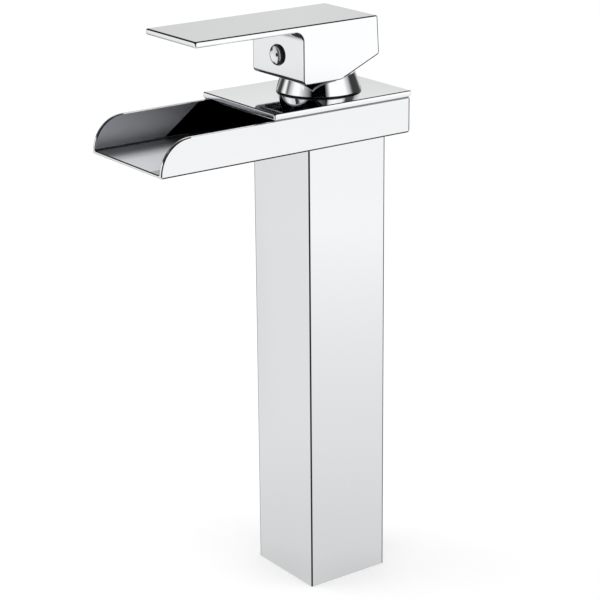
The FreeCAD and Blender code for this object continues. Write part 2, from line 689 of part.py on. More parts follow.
valve = new_body("valve_body")
sketch = new_sketch(valve, "XY", head_low)
square(sketch, body_side)
pad(valve, sketch, gasket_top - head_low)
round_edges(valve, d.block_corner, lambda edge, at: along(edge, "Z"))
sketch = new_sketch(valve, "XY", gasket_top)
square(sketch, flange_side)
pad(valve, sketch, d.head_flange)
round_edges(valve, d.head_corner, lambda edge, at: along(edge, "Z") and near(abs(at.x), flange_side / 2))
shoulder_low = spout_top - d.shoulder_tall
sketch = new_sketch(valve, "XZ")
polygon(sketch, [(0, gasket_top), (neck_r, gasket_top), (neck_r, shoulder_low),
                 (bonnet_r, shoulder_low + (bonnet_r - neck_r) / 2), (bonnet_r, spout_top),
                 (neck_r, spout_top), (neck_r, neck_top - d.neck_bevel), (neck_r - d.neck_bevel, neck_top),
                 (0, neck_top)])
revolve(valve, sketch)
nut_bed = shell_shoulder - d.nut_bed
chamber_r = d.cartridge_r + d.chamber_play
sketch = new_sketch(valve, "XZ")
polygon(sketch, [(0, chamber_floor), (chamber_r, chamber_floor), (chamber_r, nut_bed), (nut_thread_r, nut_bed),
                 (nut_thread_r, neck_top - d.neck_bevel), (nut_thread_r + d.neck_bevel, neck_top),
                 (0, neck_top)])
revolve(valve, sketch, kind="Groove")
sketch = new_sketch(valve, "XY", chamber_floor)
twin_circles(sketch, d.port_x, -d.port_front, d.port_r)
pocket(valve, sketch, chamber_floor - riser_high)
sketch = new_sketch(valve, "XY", head_low)
twin_circles(sketch, d.riser_x, -d.riser_front, d.riser_r + d.slip)
pocket(valve, sketch, d.socket_deep, reverse=True)
sketch = new_sketch(valve, "XY", head_low + d.socket_deep / 2)
twin_circles(sketch, d.riser_x, -d.riser_front, ring_groove_r)
pocket(valve, sketch, d.ring_tall)
sketch = new_sketch(valve, "XY", head_low)
twin_circles(sketch, tie_x, tie_back, d.tie_r)
pocket(valve, sketch, d.socket_deep + d.tie_run_out, reverse=True)
outlet_low = chamber_floor - d.outlet_drop
weir_front = body_side / 2 - d.weir_wall
sketch = new_sketch(valve, "XY", chamber_floor)
circle(sketch, 0, d.outlet_back, d.outlet_r)
pocket(valve, sketch, d.outlet_drop)
sketch = new_sketch(valve, "XY", outlet_low)
rectangle(sketch, -d.outlet_half, d.outlet_half, -weir_front, d.outlet_back)
pocket(valve, sketch, d.outlet_tall, reverse=True)
sketch = new_sketch(valve, "XY", flange_top)
rectangle(sketch, -d.weir_half, d.weir_half, -weir_front, d.weir_deep - weir_front)
pocket(valve, sketch, flange_top - outlet_low)
sketch = new_sketch(valve, "XY", chamber_floor)
twin_circles(sketch, d.key_x, d.key_back, d.key_r + d.key_play)
pocket(valve, sketch, d.key_long)
nodes.append(valve)

# ---------------------------------------------------------------- bonnet and nut

bonnet_top = plate_top + d.bonnet_tall
bonnet_thread_r = neck_r + d.slip
bonnet_cavity_r = neck_r - d.bonnet_step
bonnet = new_body("bonnet")
sketch = new_sketch(bonnet, "XZ")
polygon(sketch, [(bonnet_thread_r, plate_top), (bonnet_r, plate_top), (bonnet_r, plate_top + d.bonnet_land),
                 (bonnet_r - d.bonnet_taper, bonnet_top), (d.bonnet_mouth_r, bonnet_top),
                 (d.bonnet_mouth_r, bonnet_top - d.bonnet_roof), (bonnet_cavity_r, bonnet_top - d.bonnet_roof),
                 (bonnet_cavity_r, neck_top + d.bonnet_relief), (bonnet_thread_r, neck_top + d.bonnet_relief)])
revolve(bonnet, sketch)
round_edges(bonnet, d.bonnet_edge, lambda edge, at: near(at.z, bonnet_top))
round_edges(bonnet, d.bonnet_foot, lambda edge, at: near(at.z, plate_top) and circular(edge, bonnet_r))
ring_r = (neck_r + bonnet_r) / 2
sketch = new_sketch(bonnet, "XY", plate_top)
circle(sketch, 0, 0, ring_r + d.seal_r + d.seal_play)
circle(sketch, 0, 0, ring_r - d.seal_r - d.seal_play)
pocket(bonnet, sketch, d.seal_r * 2 + d.seal_play / 2, reverse=True)
nodes.append(bonnet)
nodes.append(group("bonnet_o_ring", [torus("bonnet_ring", 0, 0, plate_top + d.seal_r, ring_r, d.seal_r)]))

nut = new_body("cartridge_nut")
nut_r = nut_thread_r - d.nut_play
nut_bore_r = shell_neck_r + d.nut_ease
nut_top = shell_shoulder + d.nut_tall
sketch = new_sketch(nut, "XZ")
polygon(sketch, [(nut_bore_r, shell_shoulder), (nut_r - d.nut_lead, shell_shoulder),
                 (nut_r, shell_shoulder + d.nut_lead), (nut_r, nut_top), (nut_bore_r, nut_top)])
revolve(nut, sketch)
sketch = new_sketch(nut, "XY", nut_top)
rectangle(sketch, -d.nut_slot / 2, d.nut_slot / 2, nut_bore_r - d.nut_lead * 2, nut_r + d.nut_lead)
slot = pocket(nut, sketch, d.nut_slot_deep)
ring = nut.newObject("PartDesign::PolarPattern", "Slots")
ring.Originals = [slot]
ring.Axis = (sketch, ["N_Axis"])
ring.Angle = 360.0
ring.Occurrences = 6
nut.Tip = ring
doc.recompute()
nodes.append(nut)

# ---------------------------------------------------------------- cartridge

shell = new_body("cartridge_housing")
turret_bore = d.turret_r + d.run_gap
shell_neck_top = pivot + d.shell_neck_rise
sketch = new_sketch(shell, "XZ")
polygon(sketch, [(cartridge_bore, flange_bed), (d.cartridge_r, flange_bed), (d.cartridge_r, shell_shoulder),
                 (shell_neck_r, shell_shoulder), (shell_neck_r, shell_neck_top),
                 (turret_bore, shell_neck_top), (turret_bore, ledge_low), (cartridge_bore, ledge_low)])
revolve(shell, sketch)
sketch = new_sketch(shell, "XY", turret_low)
rectangle(sketch, -d.stop_half, d.stop_half, stop_r, cartridge_bore + d.shell_wall / 3)
pad(shell, sketch, ledge_low - turret_low)
nodes.append(shell)

plug_base = new_body("cartridge_base")
sketch = new_sketch(plug_base, "XY", cartridge_low)
circle(sketch, 0, 0, d.cartridge_r - d.slip)
pad(plug_base, sketch, d.base_flange)
sketch = new_sketch(plug_base, "XY", flange_bed)
circle(sketch, 0, 0, cartridge_bore - d.slip)
pad(plug_base, sketch, d.base_plug - d.base_flange)
sketch = new_sketch(plug_base, "XY", disc_low)
twin_circles(sketch, disc_r - d.lug_inset, 0, d.lug_r)
pad(plug_base, sketch, d.lug_tall)
sketch = new_sketch(plug_base, "XY", cartridge_low)
twin_circles(sketch, d.key_x, d.key_back, d.key_r)
pad(plug_base, sketch, d.key_long, reverse=True)
sketch = new_sketch(plug_base, "XY", disc_low)
twin_circles(sketch, d.port_x, -d.port_front, d.port_r)
circle(sketch, 0, d.outlet_back, d.outlet_r)
pocket(plug_base, sketch, d.base_plug)
sketch = new_sketch(plug_base, "XY", cartridge_low)
twin_circles(sketch, d.port_x, -d.port_front, d.port_r + d.port_seal + d.slip * 2)
circle(sketch, 0, d.outlet_back, d.outlet_r + d.port_seal + d.slip * 2)
pocket(plug_base, sketch, d.port_seal_deep, reverse=True)
nodes.append(plug_base)

seals = new_body("cartridge_seals")
sketch = new_sketch(seals, "XY", chamber_floor)
for radius_x, back, radius in ((d.port_x, -d.port_front, d.port_r), (None, d.outlet_back, d.outlet_r)):
    for ring_edge in (radius + d.port_seal, radius + d.slip * 4):
        if radius_x is None:
            circle(sketch, 0, back, ring_edge)
        else:
            twin_circles(sketch, radius_x, back, ring_edge)
pad(seals, sketch, d.seal_lift + d.port_seal_deep)
nodes.append(seals)

fixed_disc = new_body("fixed_ceramic_disc")
sketch = new_sketch(fixed_disc, "XY", disc_low)
circle(sketch, 0, 0, disc_r)
pad(fixed_disc, sketch, d.disc_thick)
sketch = new_sketch(fixed_disc, "XY", disc_low + d.disc_thick)
twin_circles(sketch, d.port_x, -d.port_front, d.port_r)
circle(sketch, 0, d.outlet_back, d.outlet_r)
pocket(fixed_disc, sketch, d.disc_thick)
sketch = new_sketch(fixed_disc, "XY", disc_low)
twin_circles(sketch, disc_r - d.lug_inset, 0, d.lug_r + d.lug_play)
pocket(fixed_disc, sketch, d.lug_tall + d.lug_play * 2, reverse=True)
nodes.append(fixed_disc)

slider = new_body("moving_ceramic_disc")
sketch = new_sketch(slider, "XY", slider_low)
circle(sketch, 0, slide_rest, slider_r)
pad(slider, sketch, d.slider_thick)
sketch = new_sketch(slider, "XY", slider_low)
mix_front = d.port_r + d.mix_lap - d.port_front
mix_rear = slide_rest + slider_r - d.mix_rim
polygon(sketch, [(-d.mix_half, mix_front), (d.mix_half, mix_front), (d.mix_half, d.mix_step),
                 (d.mix_tail, d.mix_step), (d.mix_tail, mix_rear), (-d.mix_tail, mix_rear),
                 (-d.mix_tail, d.mix_step), (-d.mix_half, d.mix_step)])
pocket(slider, sketch, d.mix_deep, reverse=True)
sketch = new_sketch(slider, "XY", carrier_low)
twin_circles(sketch, d.drive_x, slide_rest, d.drive_r + d.drive_play)
pocket(slider, sketch, d.drive_long + d.drive_play)
nodes.append(slider)

carrier = new_body("disc_carrier")
sketch = new_sketch(carrier, "XY", carrier_low)
circle(sketch, 0, slide_rest, slider_r - d.carrier_step)
pad(carrier, sketch, carrier_top - carrier_low)
sketch = new_sketch(carrier, "XY", carrier_low)
twin_circles(sketch, d.drive_x, slide_rest, d.drive_r)
pad(carrier, sketch, d.drive_long, reverse=True)
pocket_half = d.ball_r + d.move_gap
guide_in = pocket_half + d.guide_inset
for low, high in ((-d.guide_half, -guide_in), (guide_in, d.guide_half)):
    sketch = new_sketch(carrier, "XY", carrier_top)
    rectangle(sketch, low, high, slide_rest - d.guide_front, slide_rest + d.guide_rear)
    pad(carrier, sketch, d.guide_tall)
sketch = new_sketch(carrier, "XY", carrier_top)
square(sketch, pocket_half * 2)
pocket(carrier, sketch, carrier_top - ball_z + pocket_half)
nodes.append(carrier)

turret = new_body("cartridge_turret")
turret_ledge = ledge_low - d.turret_play
turret_flange_r = cartridge_bore - d.flange_gap
turret_top = pivot + d.turret_rise
sketch = new_sketch(turret, "XZ")
polygon(sketch, [(0, turret_low), (turret_flange_r, turret_low), (turret_flange_r, turret_ledge),
                 (d.turret_r, turret_ledge), (d.turret_r, turret_top - d.turret_bevel),
                 (d.turret_r - d.turret_bevel, turret_top), (0, turret_top)])
revolve(turret, sketch)
# the window lets the spindle rock between upright and full lift; its sides follow the square part,
# whose lower front corner swings to corner_y, corner_z
half = d.spindle_side / 2 + d.move_gap
lean = half / cosine(d.lift)
corner_y = half * cosine(d.lift) + d.spindle_drop * sine(d.lift)
corner_z = d.spindle_drop * cosine(d.lift) - half * sine(d.lift)
tail_y = d.turret_drop * tangent(d.lift) + (d.spindle_neck_r + d.move_gap) / cosine(d.lift)
sketch = new_sketch(turret, "YZ")
polygon(sketch, [(half, turret_low), (half, pivot - d.pin_r), (lean, pivot),
                 (lean + d.turret_rise * tangent(d.lift), turret_top), (-half, turret_top), (-lean, pivot),
                 (-corner_y, pivot - corner_z), (-tail_y, turret_low)])
pocket(turret, sketch, half * 2, both=True)
sketch = new_sketch(turret, "XY", turret_low)
channel = d.guide_half + d.guide_play
rectangle(sketch, -channel, channel, -cartridge_bore, cartridge_bore)
pocket(turret, sketch, carrier_top + d.guide_tall + d.guide_play - turret_low, reverse=True)
sketch = new_sketch(turret, "YZ")
circle(sketch, 0, pivot, d.pin_r + d.pin_play)
pocket(turret, sketch, cartridge_bore * 2, both=True)
notch = d.swivel + arc_sine(d.stop_half / stop_r) + d.swivel_spare
turns = [notch * (step / 4) + 90 for step in range(-4, 5)]
sketch = new_sketch(turret, "XY", turret_low)
polygon(sketch, [(cosine(turn) * (stop_r - d.stop_play), sine(turn) * (stop_r - d.stop_play)) for turn in turns] +
        [(cosine(turn) * d.cartridge_r, sine(turn) * d.cartridge_r) for turn in reversed(turns)])
pocket(turret, sketch, turret_ledge - turret_low, reverse=True)
nodes.append(turret)

pin = new_body("pivot_pin")
sketch = new_sketch(pin, "YZ")
circle(sketch, 0, pivot, d.pin_r)
pad(pin, sketch, (d.turret_r - d.pin_short) * 2, both=True)
round_edges(pin, d.pin_bevel, lambda edge, at: circular(edge), kind="Chamfer")
nodes.append(pin)

# ---------------------------------------------------------------- lever

spindle = new_body("lever_spindle")
spindle_low = pivot - d.spindle_drop
sketch = new_sketch(spindle, "XY", spindle_low)
square(sketch, d.spindle_side)
pad(spindle, sketch, spindle_top - spindle_low)
round_edges(spindle, d.spindle_bevel, lambda edge, at: near(at.z, spindle_top), kind="Chamfer")
sketch = new_sketch(spindle, "XZ")
polygon(sketch, [(0, ball_z), (d.spindle_neck_r, ball_z), (d.spindle_neck_r, spindle_low),
                 (d.spindle_neck_r + d.spindle_cone, spindle_low + d.spindle_cone),
                 (0, spindle_low + d.spindle_cone)])
revolve(spindle, sketch)
ball = spindle.newObject("PartDesign::AdditiveSphere", "Ball")
ball.setExpression("Radius", d.ball_r.text)
ball.setExpression("Placement.Base.z", ball_z.text)
doc.recompute()
sketch = new_sketch(spindle, "YZ")
circle(sketch, 0, pivot, d.pin_r + d.run_gap)
pocket(spindle, sketch, d.spindle_side * 2, both=True)
nodes.append(spindle)

lever = new_body("lever_handle")
blade_low = lever_top - d.blade_thick
rear_out = d.block_rear + d.block_lean
# the underside and the bevel both lie block_rise away from the cross pin, so the bevel is level at full lift
bevel_start = -(d.block_rise * tangent(d.lift / 2))
bevel_end = block_low + (rear_out - bevel_start) * tangent(d.lift)
sketch = new_sketch(lever, "YZ")
polygon(sketch, [(-d.lever_front, blade_low), (-d.block_front, blade_low), (-d.block_front, block_low),
                 (bevel_start, block_low), (rear_out, bevel_end), (d.block_rear, lever_top),
                 (-d.lever_front, lever_top)])
pad(lever, sketch, lever_half * 2, both=True)
for radius, across, height in ((d.blade_root_r, -d.block_front, blade_low), (d.block_toe_r, -d.block_front, block_low),
                               (d.heel_r, bevel_start, block_low)):
    round_edges(lever, radius, lambda edge, at: along(edge, "X") and near(at.y, across) and near(at.z, height))
round_edges(lever, d.blade_corner, lambda edge, at: along(edge, "Z") and near(at.y, -d.lever_front))
round_edges(lever, d.lever_edge, lambda edge, at: near(abs(at.x), lever_half) or (
    along(edge, "X") and (near(at.z, lever_top) or near(at.y, rear_out) or near(at.y, -d.lever_front))))
cavity_front = d.block_front - d.block_wall
sketch = new_sketch(lever, "XY", block_low)
rectangle(sketch, -cavity_half, cavity_half, -cavity_front, d.block_rear - d.block_wall)
pocket(lever, sketch, cavity_top - block_low, reverse=True)
round_edges(lever, d.cavity_corner, lambda edge, at: along(edge, "Z") and near(abs(at.x), cavity_half))
sketch = new_sketch(lever, "XY", boss_low)
rectangle(sketch, -d.boss_half, d.boss_half, -(cavity_front + d.block_wall / 2), d.boss_half)
pad(lever, sketch, cavity_top - boss_low + d.block_roof / 4)
sketch = new_sketch(lever, "XY", boss_low)
square(sketch, d.spindle_side + d.slip * 2)
pocket(lever, sketch, d.spindle_grip + d.socket_spare, reverse=True)
for depth, radius in ((d.block_front - d.spindle_side / 2, d.screw_r),
                      (d.plug_recess + d.plug_stem + d.plug_lead, d.plug_stem_r + d.slip),
                      (d.plug_recess, d.plug_r + d.plug_ring)):
    sketch = new_sketch(lever, "XZ", d.block_front)
    circle(sketch, 0, screw_z, radius)
    pocket(lever, sketch, depth)
nodes.append(lever)

screw = new_body("handle_set_screw")
screw_tip = d.spindle_side / 2 + d.slip
screw_end = screw_tip + d.screw_long
sketch = new_sketch(screw, "XY", screw_z)
polygon(sketch, [(0, -screw_tip), (d.screw_r - d.screw_lead, -screw_tip),
                 (d.screw_r - d.slip, -(screw_tip + d.screw_lead)), (d.screw_r - d.slip, -screw_end),
                 (0, -screw_end)])
revolve(screw, sketch)
sketch = new_sketch(screw, "XZ", screw_end)
hexagon(sketch, 0, screw_z, d.screw_key_r)
pocket(screw, sketch, d.screw_key_deep)
nodes.append(screw)

plug = new_body("index_plug")
seat = d.block_front - d.plug_recess
face = d.block_front + d.plug_dome
stem_end = seat - d.plug_stem
sketch = new_sketch(plug, "XY", screw_z)
polygon(sketch, [(0, -stem_end), (d.plug_stem_r - d.plug_lead, -stem_end),
                 (d.plug_stem_r, -(stem_end + d.plug_lead)), (d.plug_stem_r, -seat), (d.plug_r, -seat),
                 (d.plug_r, -(face - d.plug_dome * 0.85)), (d.plug_r * 0.9, -(face - d.plug_dome * 0.35)),
                 (d.plug_r * 0.65, -(face - d.plug_dome * 0.12)), (d.dimple_r * 1.5, -face),
                 (d.dimple_r, -(face - d.dimple_deep * 0.2)), (d.dimple_r * 0.7, -(face - d.dimple_deep)),
                 (0, -(face - d.dimple_deep * 1.1))])
revolve(plug, sketch)
nodes.append(plug)

# ---------------------------------------------------------------- checks and export

doc.recompute()
for item in doc.Objects:
    if "Invalid" in item.State or "Error" in item.State:
        raise RuntimeError("%s is in error" % item.Label)
for node in nodes:
    if node.Shape.isNull() or not node.Shape.isValid():
        raise RuntimeError("bad shape in " + node.Label)
    node.Shape.exportStep("parts/%s.step" % node.Label)
    print("%-22s %10.1f mm3" % (node.Label, node.Shape.Volume))
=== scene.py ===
"""Tall single-lever waterfall basin faucet: visible pieces, finishes and studio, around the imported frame.

Metres, +Z up, the spout points to -Y, and the origin is the middle of the column's foot.
"""
import json
import math

import bmesh
import bpy
from mathutils import Matrix, Vector


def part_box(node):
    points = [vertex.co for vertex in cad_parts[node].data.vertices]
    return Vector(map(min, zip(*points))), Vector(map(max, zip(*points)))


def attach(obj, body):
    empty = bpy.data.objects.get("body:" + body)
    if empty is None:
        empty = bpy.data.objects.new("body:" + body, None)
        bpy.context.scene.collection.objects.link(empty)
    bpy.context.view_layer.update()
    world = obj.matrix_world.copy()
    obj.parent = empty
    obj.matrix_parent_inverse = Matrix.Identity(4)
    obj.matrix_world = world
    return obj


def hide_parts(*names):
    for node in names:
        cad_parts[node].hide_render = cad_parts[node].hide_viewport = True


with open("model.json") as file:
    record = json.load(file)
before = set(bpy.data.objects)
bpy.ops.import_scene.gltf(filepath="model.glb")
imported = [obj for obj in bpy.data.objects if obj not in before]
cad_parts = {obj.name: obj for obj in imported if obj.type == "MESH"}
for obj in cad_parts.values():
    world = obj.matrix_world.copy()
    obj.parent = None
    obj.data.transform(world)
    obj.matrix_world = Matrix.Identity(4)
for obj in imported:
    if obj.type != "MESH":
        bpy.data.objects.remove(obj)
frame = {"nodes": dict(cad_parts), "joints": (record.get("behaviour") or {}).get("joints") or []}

bl_info = {
    "name": "Waterfall basin faucet",
    "version": (1, 0, 0),
    "blender": (4, 5, 0),
    "location": "3D View > Sidebar > Faucet",
    "description": "Builds the visible pieces of a tall waterfall basin faucet around its frame",
    "category": "Object",
}

MM = 0.001
FAUCET, LEVER = "faucet", "lever"
ARC_STEPS = 8
ROUND_STEPS = 128
EDGE_STEPS = 3
SHARP_ANGLE = math.radians(32)
WELD = 1e-7  # corners closer than this become one
SLIP = 0.05 * MM  # between a pin and its bore
CLEAR = 2 * MM  # how far a cutter stands out of what it cuts
NEAR = 0.1 * MM  # a face closer than this to a level lies on it
FLUSH = 0.01 * MM  # the same for the faces of the channel's floor
# A face's normal has one of these shares along an axis when it hardly, halfway, mostly or fully looks that way.
HARDLY, HALFWAY, MOSTLY, FULLY = 0.1, 0.5, 0.93, 0.98

# Places that the frame gives.
COLUMN_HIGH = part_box("column_shell")[1]
CHANNEL_LOW, CHANNEL_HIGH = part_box("spout_trough")
PLATE_LOW, PLATE_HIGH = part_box("cover_plate")
BONNET_LOW, BONNET_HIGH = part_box("bonnet")
LEVER_LOW, LEVER_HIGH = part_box("lever_handle")
PLUG_LOW, PLUG_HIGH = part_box("index_plug")
BAFFLE_LOW, BAFFLE_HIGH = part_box("flow_baffle")
BASE_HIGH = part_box("base_block")[1]
SPINDLE_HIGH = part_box("lever_spindle")[1]


def linear(hex_colour):
    """Linear RGB from an sRGB hex colour."""
    channels = [int(hex_colour[place:place + 2], 16) / 255 for place in (1, 3, 5)]
    return tuple(c / 12.92 if c <= 0.04045 else ((c + 0.055) / 1.055) ** 2.4 for c in channels)


WHITE = (*linear("#FFFFFF"), 1.0)
BLACK = (*linear("#000000"), 1.0)


def size(name, description, millimetres):
    return bpy.props.FloatProperty(name=name, description=description, default=millimetres * MM,
                                   min=0.0, unit="LENGTH", precision=5)


def colour(name, description, hex_colour):
    return bpy.props.FloatVectorProperty(name=name, description=description, default=linear(hex_colour),
                                         min=0.0, max=1.0, size=3, subtype="COLOR")


def angle(name, description, degrees):
    return bpy.props.FloatProperty(name=name, description=description, default=math.radians(degrees),
                                   subtype="ANGLE")


def share(name, description, value):
    return bpy.props.FloatProperty(name=name, description=description, default=value, min=0.0, max=4.0,
                                   subtype="FACTOR")


# ---------------------------------------------------------------- settings


class FaucetSizes(bpy.types.PropertyGroup):
    """Sizes that the frame's boxes don't give."""

    edge: size("Edge", "rounding of the lever's edges", 1.0)
    column_corner: size("Column corner", "outside corner radius of the column", 1.2)
    column_wall: size("Column wall", "wall of the column", 2.5)
    foot_wall: size("Foot wall", "wall where the base block sits", 1.75)
    foot_bevel: size("Foot bevel", "bevel around the foot", 0.4)
    channel_wall: size("Channel wall", "side wall of the channel", 2.1)
    channel_floor: size("Channel floor", "floor of the channel", 1.8)
    nose_land: size("Nose land", "straight foot of the rounded side wall", 1.0)
    channel_corner: size("Channel corner", "rounding of the channel's back corners", 2.0)
    channel_cove: size("Channel cove", "fillet between floor and walls", 1.0)
    channel_rim: size("Channel rim", "rounding of the channel's edges", 0.5)
    channel_hem: size("Channel hem", "rounding of the channel's lower edges", 0.9)
    lip_hem: size("Lip hem", "rounding below the channel's lip", 0.6)
    plate_thick: size("Plate", "thickness of the cover plate", 3.2)
    plate_edge: size("Plate edge", "rounding of the plate's edges", 0.7)
    plate_corner: size("Plate corner", "corner radius of the plate", 1.0)
    plate_gap: size("Plate gap", "shadow gap below the plate's edge", 0.6)
    plate_step: size("Plate step", "width of the shadow gap", 0.9)
    rib_wide: size("Rib", "width of the ribs below the plate", 1.4)
    rib_gap: size("Rib gap", "gap between a rib and the channel wall", 0.3)
    rib_inset: size("Rib inset", "ribs stop short of the plate's ends", 6.0)
    neck_r: size("Neck", "neck radius inside the bonnet", 18.0)
    neck_gap: size("Neck gap", "hole in the plate around the neck", 0.3)
    neck_rise: size("Neck rise", "top of the neck above the plate", 4.6)
    bonnet_land: size("Bonnet land", "straight band at the bonnet's foot", 0.8)
    bonnet_taper: size("Bonnet taper", "how much narrower the bonnet's top is", 3.4)
    bonnet_mouth: size("Bonnet mouth", "radius of the opening in the bonnet's top", 13.0)
    bonnet_roof: size("Bonnet roof", "thickness of the bonnet's top", 2.2)
    bonnet_edge: size("Bonnet edge", "rounding of the bonnet's top edge", 0.6)
    bonnet_foot: size("Bonnet foot", "rounding of the bonnet's lower edge", 0.5)
    bonnet_break: size("Bonnet break", "rounding between that band and the cone", 0.15)
    bonnet_step: size("Bonnet step", "step inside the bonnet, above the neck's thread", 1.5)
    bonnet_room: size("Bonnet room", "room between the neck's top and that step", 0.5)
    groove_half: size("Groove", "half the width of the O-ring's groove in the bonnet", 0.7)
    groove_deep: size("Groove depth", "depth of that groove", 1.25)
    blade_thick: size("Blade", "thickness of the lever's blade", 3.2)
    block_front: size("Block front", "front face of the lever's block, ahead of the axis", 26.0)
    block_rear: size("Block rear", "rear face of the block at the top", 21.5)
    block_wall: size("Block wall", "wall of the block", 2.5)
    block_roof: size("Block roof", "roof of the block", 4.7)
    bevel_radius: size("Bevel radius", "underside and bevel both touch a circle of this radius", 9.0)
    blade_corner: size("Blade corner", "corner radius of the blade's tip", 1.2)
    blade_root: size("Blade root", "fillet between blade and block", 5.0)
    block_toe: size("Block toe", "rounding of the block's lower front edge", 2.5)
    block_heel: size("Block heel", "rounding where the bevel starts", 8.0)
    cavity_corner: size("Cavity corner", "inside corner radius of the block", 1.0)
    boss_half: size("Boss", "half width of the spindle boss", 7.0)
    boss_rise: size("Boss rise", "boss's underside above the block's underside", 7.0)
    socket_room: size("Socket room", "room above the spindle", 0.5)
    plug_ring: size("Plug ring", "gap around the plug's head", 0.45)
    plug_recess: size("Plug recess", "depth of the recess for the plug head", 0.4)
    plug_stem: size("Plug stem", "stem radius of the plug", 4.2)
    plug_dimple: size("Plug dimple", "radius of the dimple in the plug", 1.0)
    plug_hole: size("Plug hole", "depth of that dimple", 0.5)
    plug_bead: size("Plug bead", "radius of the rounded rim of the plug", 0.42)
    plug_dish: size("Plug dish", "radius of the dished face inside the rim", 12.0)
    plug_lead: size("Plug lead", "bevel at the end of the plug's stem", 0.4)
    plug_room: size("Plug room", "room behind the plug's stem", 0.4)
    screw_bore: size("Screw bore", "radius of the set screw's thread", 2.5)
    baffle_sheet: size("Baffle sheet", "sheet of the flow baffle", 1.0)
    baffle_bend: size("Baffle bend", "inside bend radius of the flow baffle", 0.8)
    baffle_hole: size("Baffle hole", "radius of the holes in the flow baffle", 1.4)
    baffle_margin: size("Baffle margin", "first hole from the baffle's end", 2.8)
    inlet_core: size("Inlet core", "core radius of the inlet threads", 4.5)
    inlet_pitch: size("Inlet pitch", "pitch of the inlet threads", 1.0)
    inlet_deep: size("Inlet depth", "depth of the inlet threads", 12.0)
    inlet_side: size("Inlet side", "inlets left and right of the axis", 8.0)
    inlet_front: size("Inlet front", "inlets ahead of the axis", 5.0)
    stud_core: size("Stud core", "core radius of the stud thread", 3.4)
    stud_pitch: size("Stud pitch", "pitch of the stud thread", 1.25)
    stud_deep: size("Stud depth", "depth of the stud thread", 14.0)
    stud_back: size("Stud back", "stud behind the axis", 10.0)
    thread_tooth: size("Thread tooth", "height of a thread tooth that shows", 0.28)


class FaucetColours(bpy.types.PropertyGroup):
    """Colours of the finishes; several of them are painted shade and painted dark reflections."""

    chrome: colour("Chrome", "polished chrome plating", "#F7F8F9")
    recess: colour("Painted recess shade", "thin grey plating in hollows, gaps and undersides", "#7C7F84")
    wall: colour("Channel wall", "satin inner walls of the channel, darkened as painted shade", "#C6C9CD")
    bed: colour("Channel floor", "matt plating on the channel's floor", "#E6E7EA")
    edge: colour("Edge", "painted dark reflections on edges and painted shade in seams", "#2B2D31")
    plug: colour("Plug chrome", "darker chrome of the plug", "#E4E6E8")
    brass: colour("Brass", "turned brass", "#C6A15B")
    steel: colour("Steel", "stainless steel", "#BDBBB7")
    rubber: colour("Rubber", "black sealing rubber", "#1B1B1D")
    acetal: colour("White plastic", "natural acetal", "#E8E6DF")
    nylon: colour("Grey plastic", "glass-filled nylon", "#6F7275")
    sheet: colour("Baffle steel", "flow baffle's sheet, dark as painted shade", "#2C2D2F")
    alumina: colour("Ceramic", "ground alumina ceramic", "#EEEAE2")
    enamel: colour("Enamel", "black enamel in the plug's dimple", "#0B0B0C")


class FaucetStudio(bpy.types.PropertyGroup):
    """Camera, light and floor."""

    camera_side: bpy.props.FloatVectorProperty(name="Camera", description="place of the camera",
                                               default=(0.82715, -0.61181, 0.50536), size=3,
                                               subtype="TRANSLATION", unit="LENGTH")
    camera_turn: angle("Camera azimuth", "turn of the camera about +Z", 54.11)
    camera_pitch: angle("Camera pitch", "tilt of the camera, negative looks down", -18.79)
    camera_roll: angle("Camera roll", "roll of the camera", -0.528)
    lens: bpy.props.FloatProperty(name="Lens", description="focal length on a 36 mm sensor", default=120.24,
                                  unit="CAMERA")
    flag_turn: angle("Flag azimuth", "where the flags' bearings start, turned from +X", -35.89)
    light: share("Light", "strength of the surroundings as matt surfaces get it", 0.86)
    mirror_light: share("Mirror light", "strength of the surroundings as metal shows them", 1.06)
    floor_half: bpy.props.FloatProperty(name="Floor", description="half the floor's width", default=4.0,
                                        unit="LENGTH")
    floor_glow: share("Floor glow", "light that the floor gives by itself", 0.31)
    floor_colour: colour("Floor", "pale floor", "#E4E4E4")


# ---------------------------------------------------------------- shapes


def arc(across, along, radius, start, end, steps=ARC_STEPS):
    """Points on an arc, both ends included; angles in degrees."""
    turns = [math.radians(start + (end - start) * step / steps) for step in range(steps + 1)]
    return [(across + radius * math.cos(turn), along + radius * math.sin(turn)) for turn in turns]


def rounded(corners):
    """A closed outline from corners of (across, along, radius)."""
    points = []
    for index, (across, along, radius) in enumerate(corners):
        corner = Vector((across, along))
        if not radius:
            points.append((across, along))
            continue
        before = (Vector(corners[index - 1][:2]) - corner).normalized()
        after = (Vector(corners[(index + 1) % len(corners)][:2]) - corner).normalized()
        half = before.angle(after) / 2
        centre = corner + (before + after).normalized() * (radius / math.sin(half))
        first, last = (corner + way * (radius / math.tan(half)) - centre for way in (before, after))
        start = math.degrees(math.atan2(first.y, first.x))
        sweep = (math.degrees(math.atan2(last.y, last.x)) - start + 180) % 360 - 180
        points += arc(centre.x, centre.y, radius, start, start + sweep)
    return points


def rectangle(low_across, high_across, low_along, high_along, radius=0.0):
    return rounded([(low_across, low_along, radius), (high_across, low_along, radius),
                    (high_across, high_along, radius), (low_across, high_along, radius)])


def new_object(name, shape):
    """An object at the origin from a bmesh."""
    mesh = bpy.data.meshes.new(name)
    bmesh.ops.recalc_face_normals(shape, faces=shape.faces)
    shape.to_mesh(mesh)
    shape.free()
    obj = bpy.data.objects.new(name, mesh)
    bpy.context.scene.collection.objects.link(obj)
    return obj


def skin(shape, rings, closed):
    """Faces between neighbouring rings of points, and back to the first ring if closed."""
    rings = [[shape.verts.new(point) for point in ring] for ring in rings]
    pairs = list(zip(rings, rings[1:])) + ([(rings[-1], rings[0])] if closed else [])
    for near, far in pairs:
        for index in range(len(near)):
            following = (index + 1) % len(near)
            shape.faces.new((near[index], near[following], far[following], far[index]))
    return rings


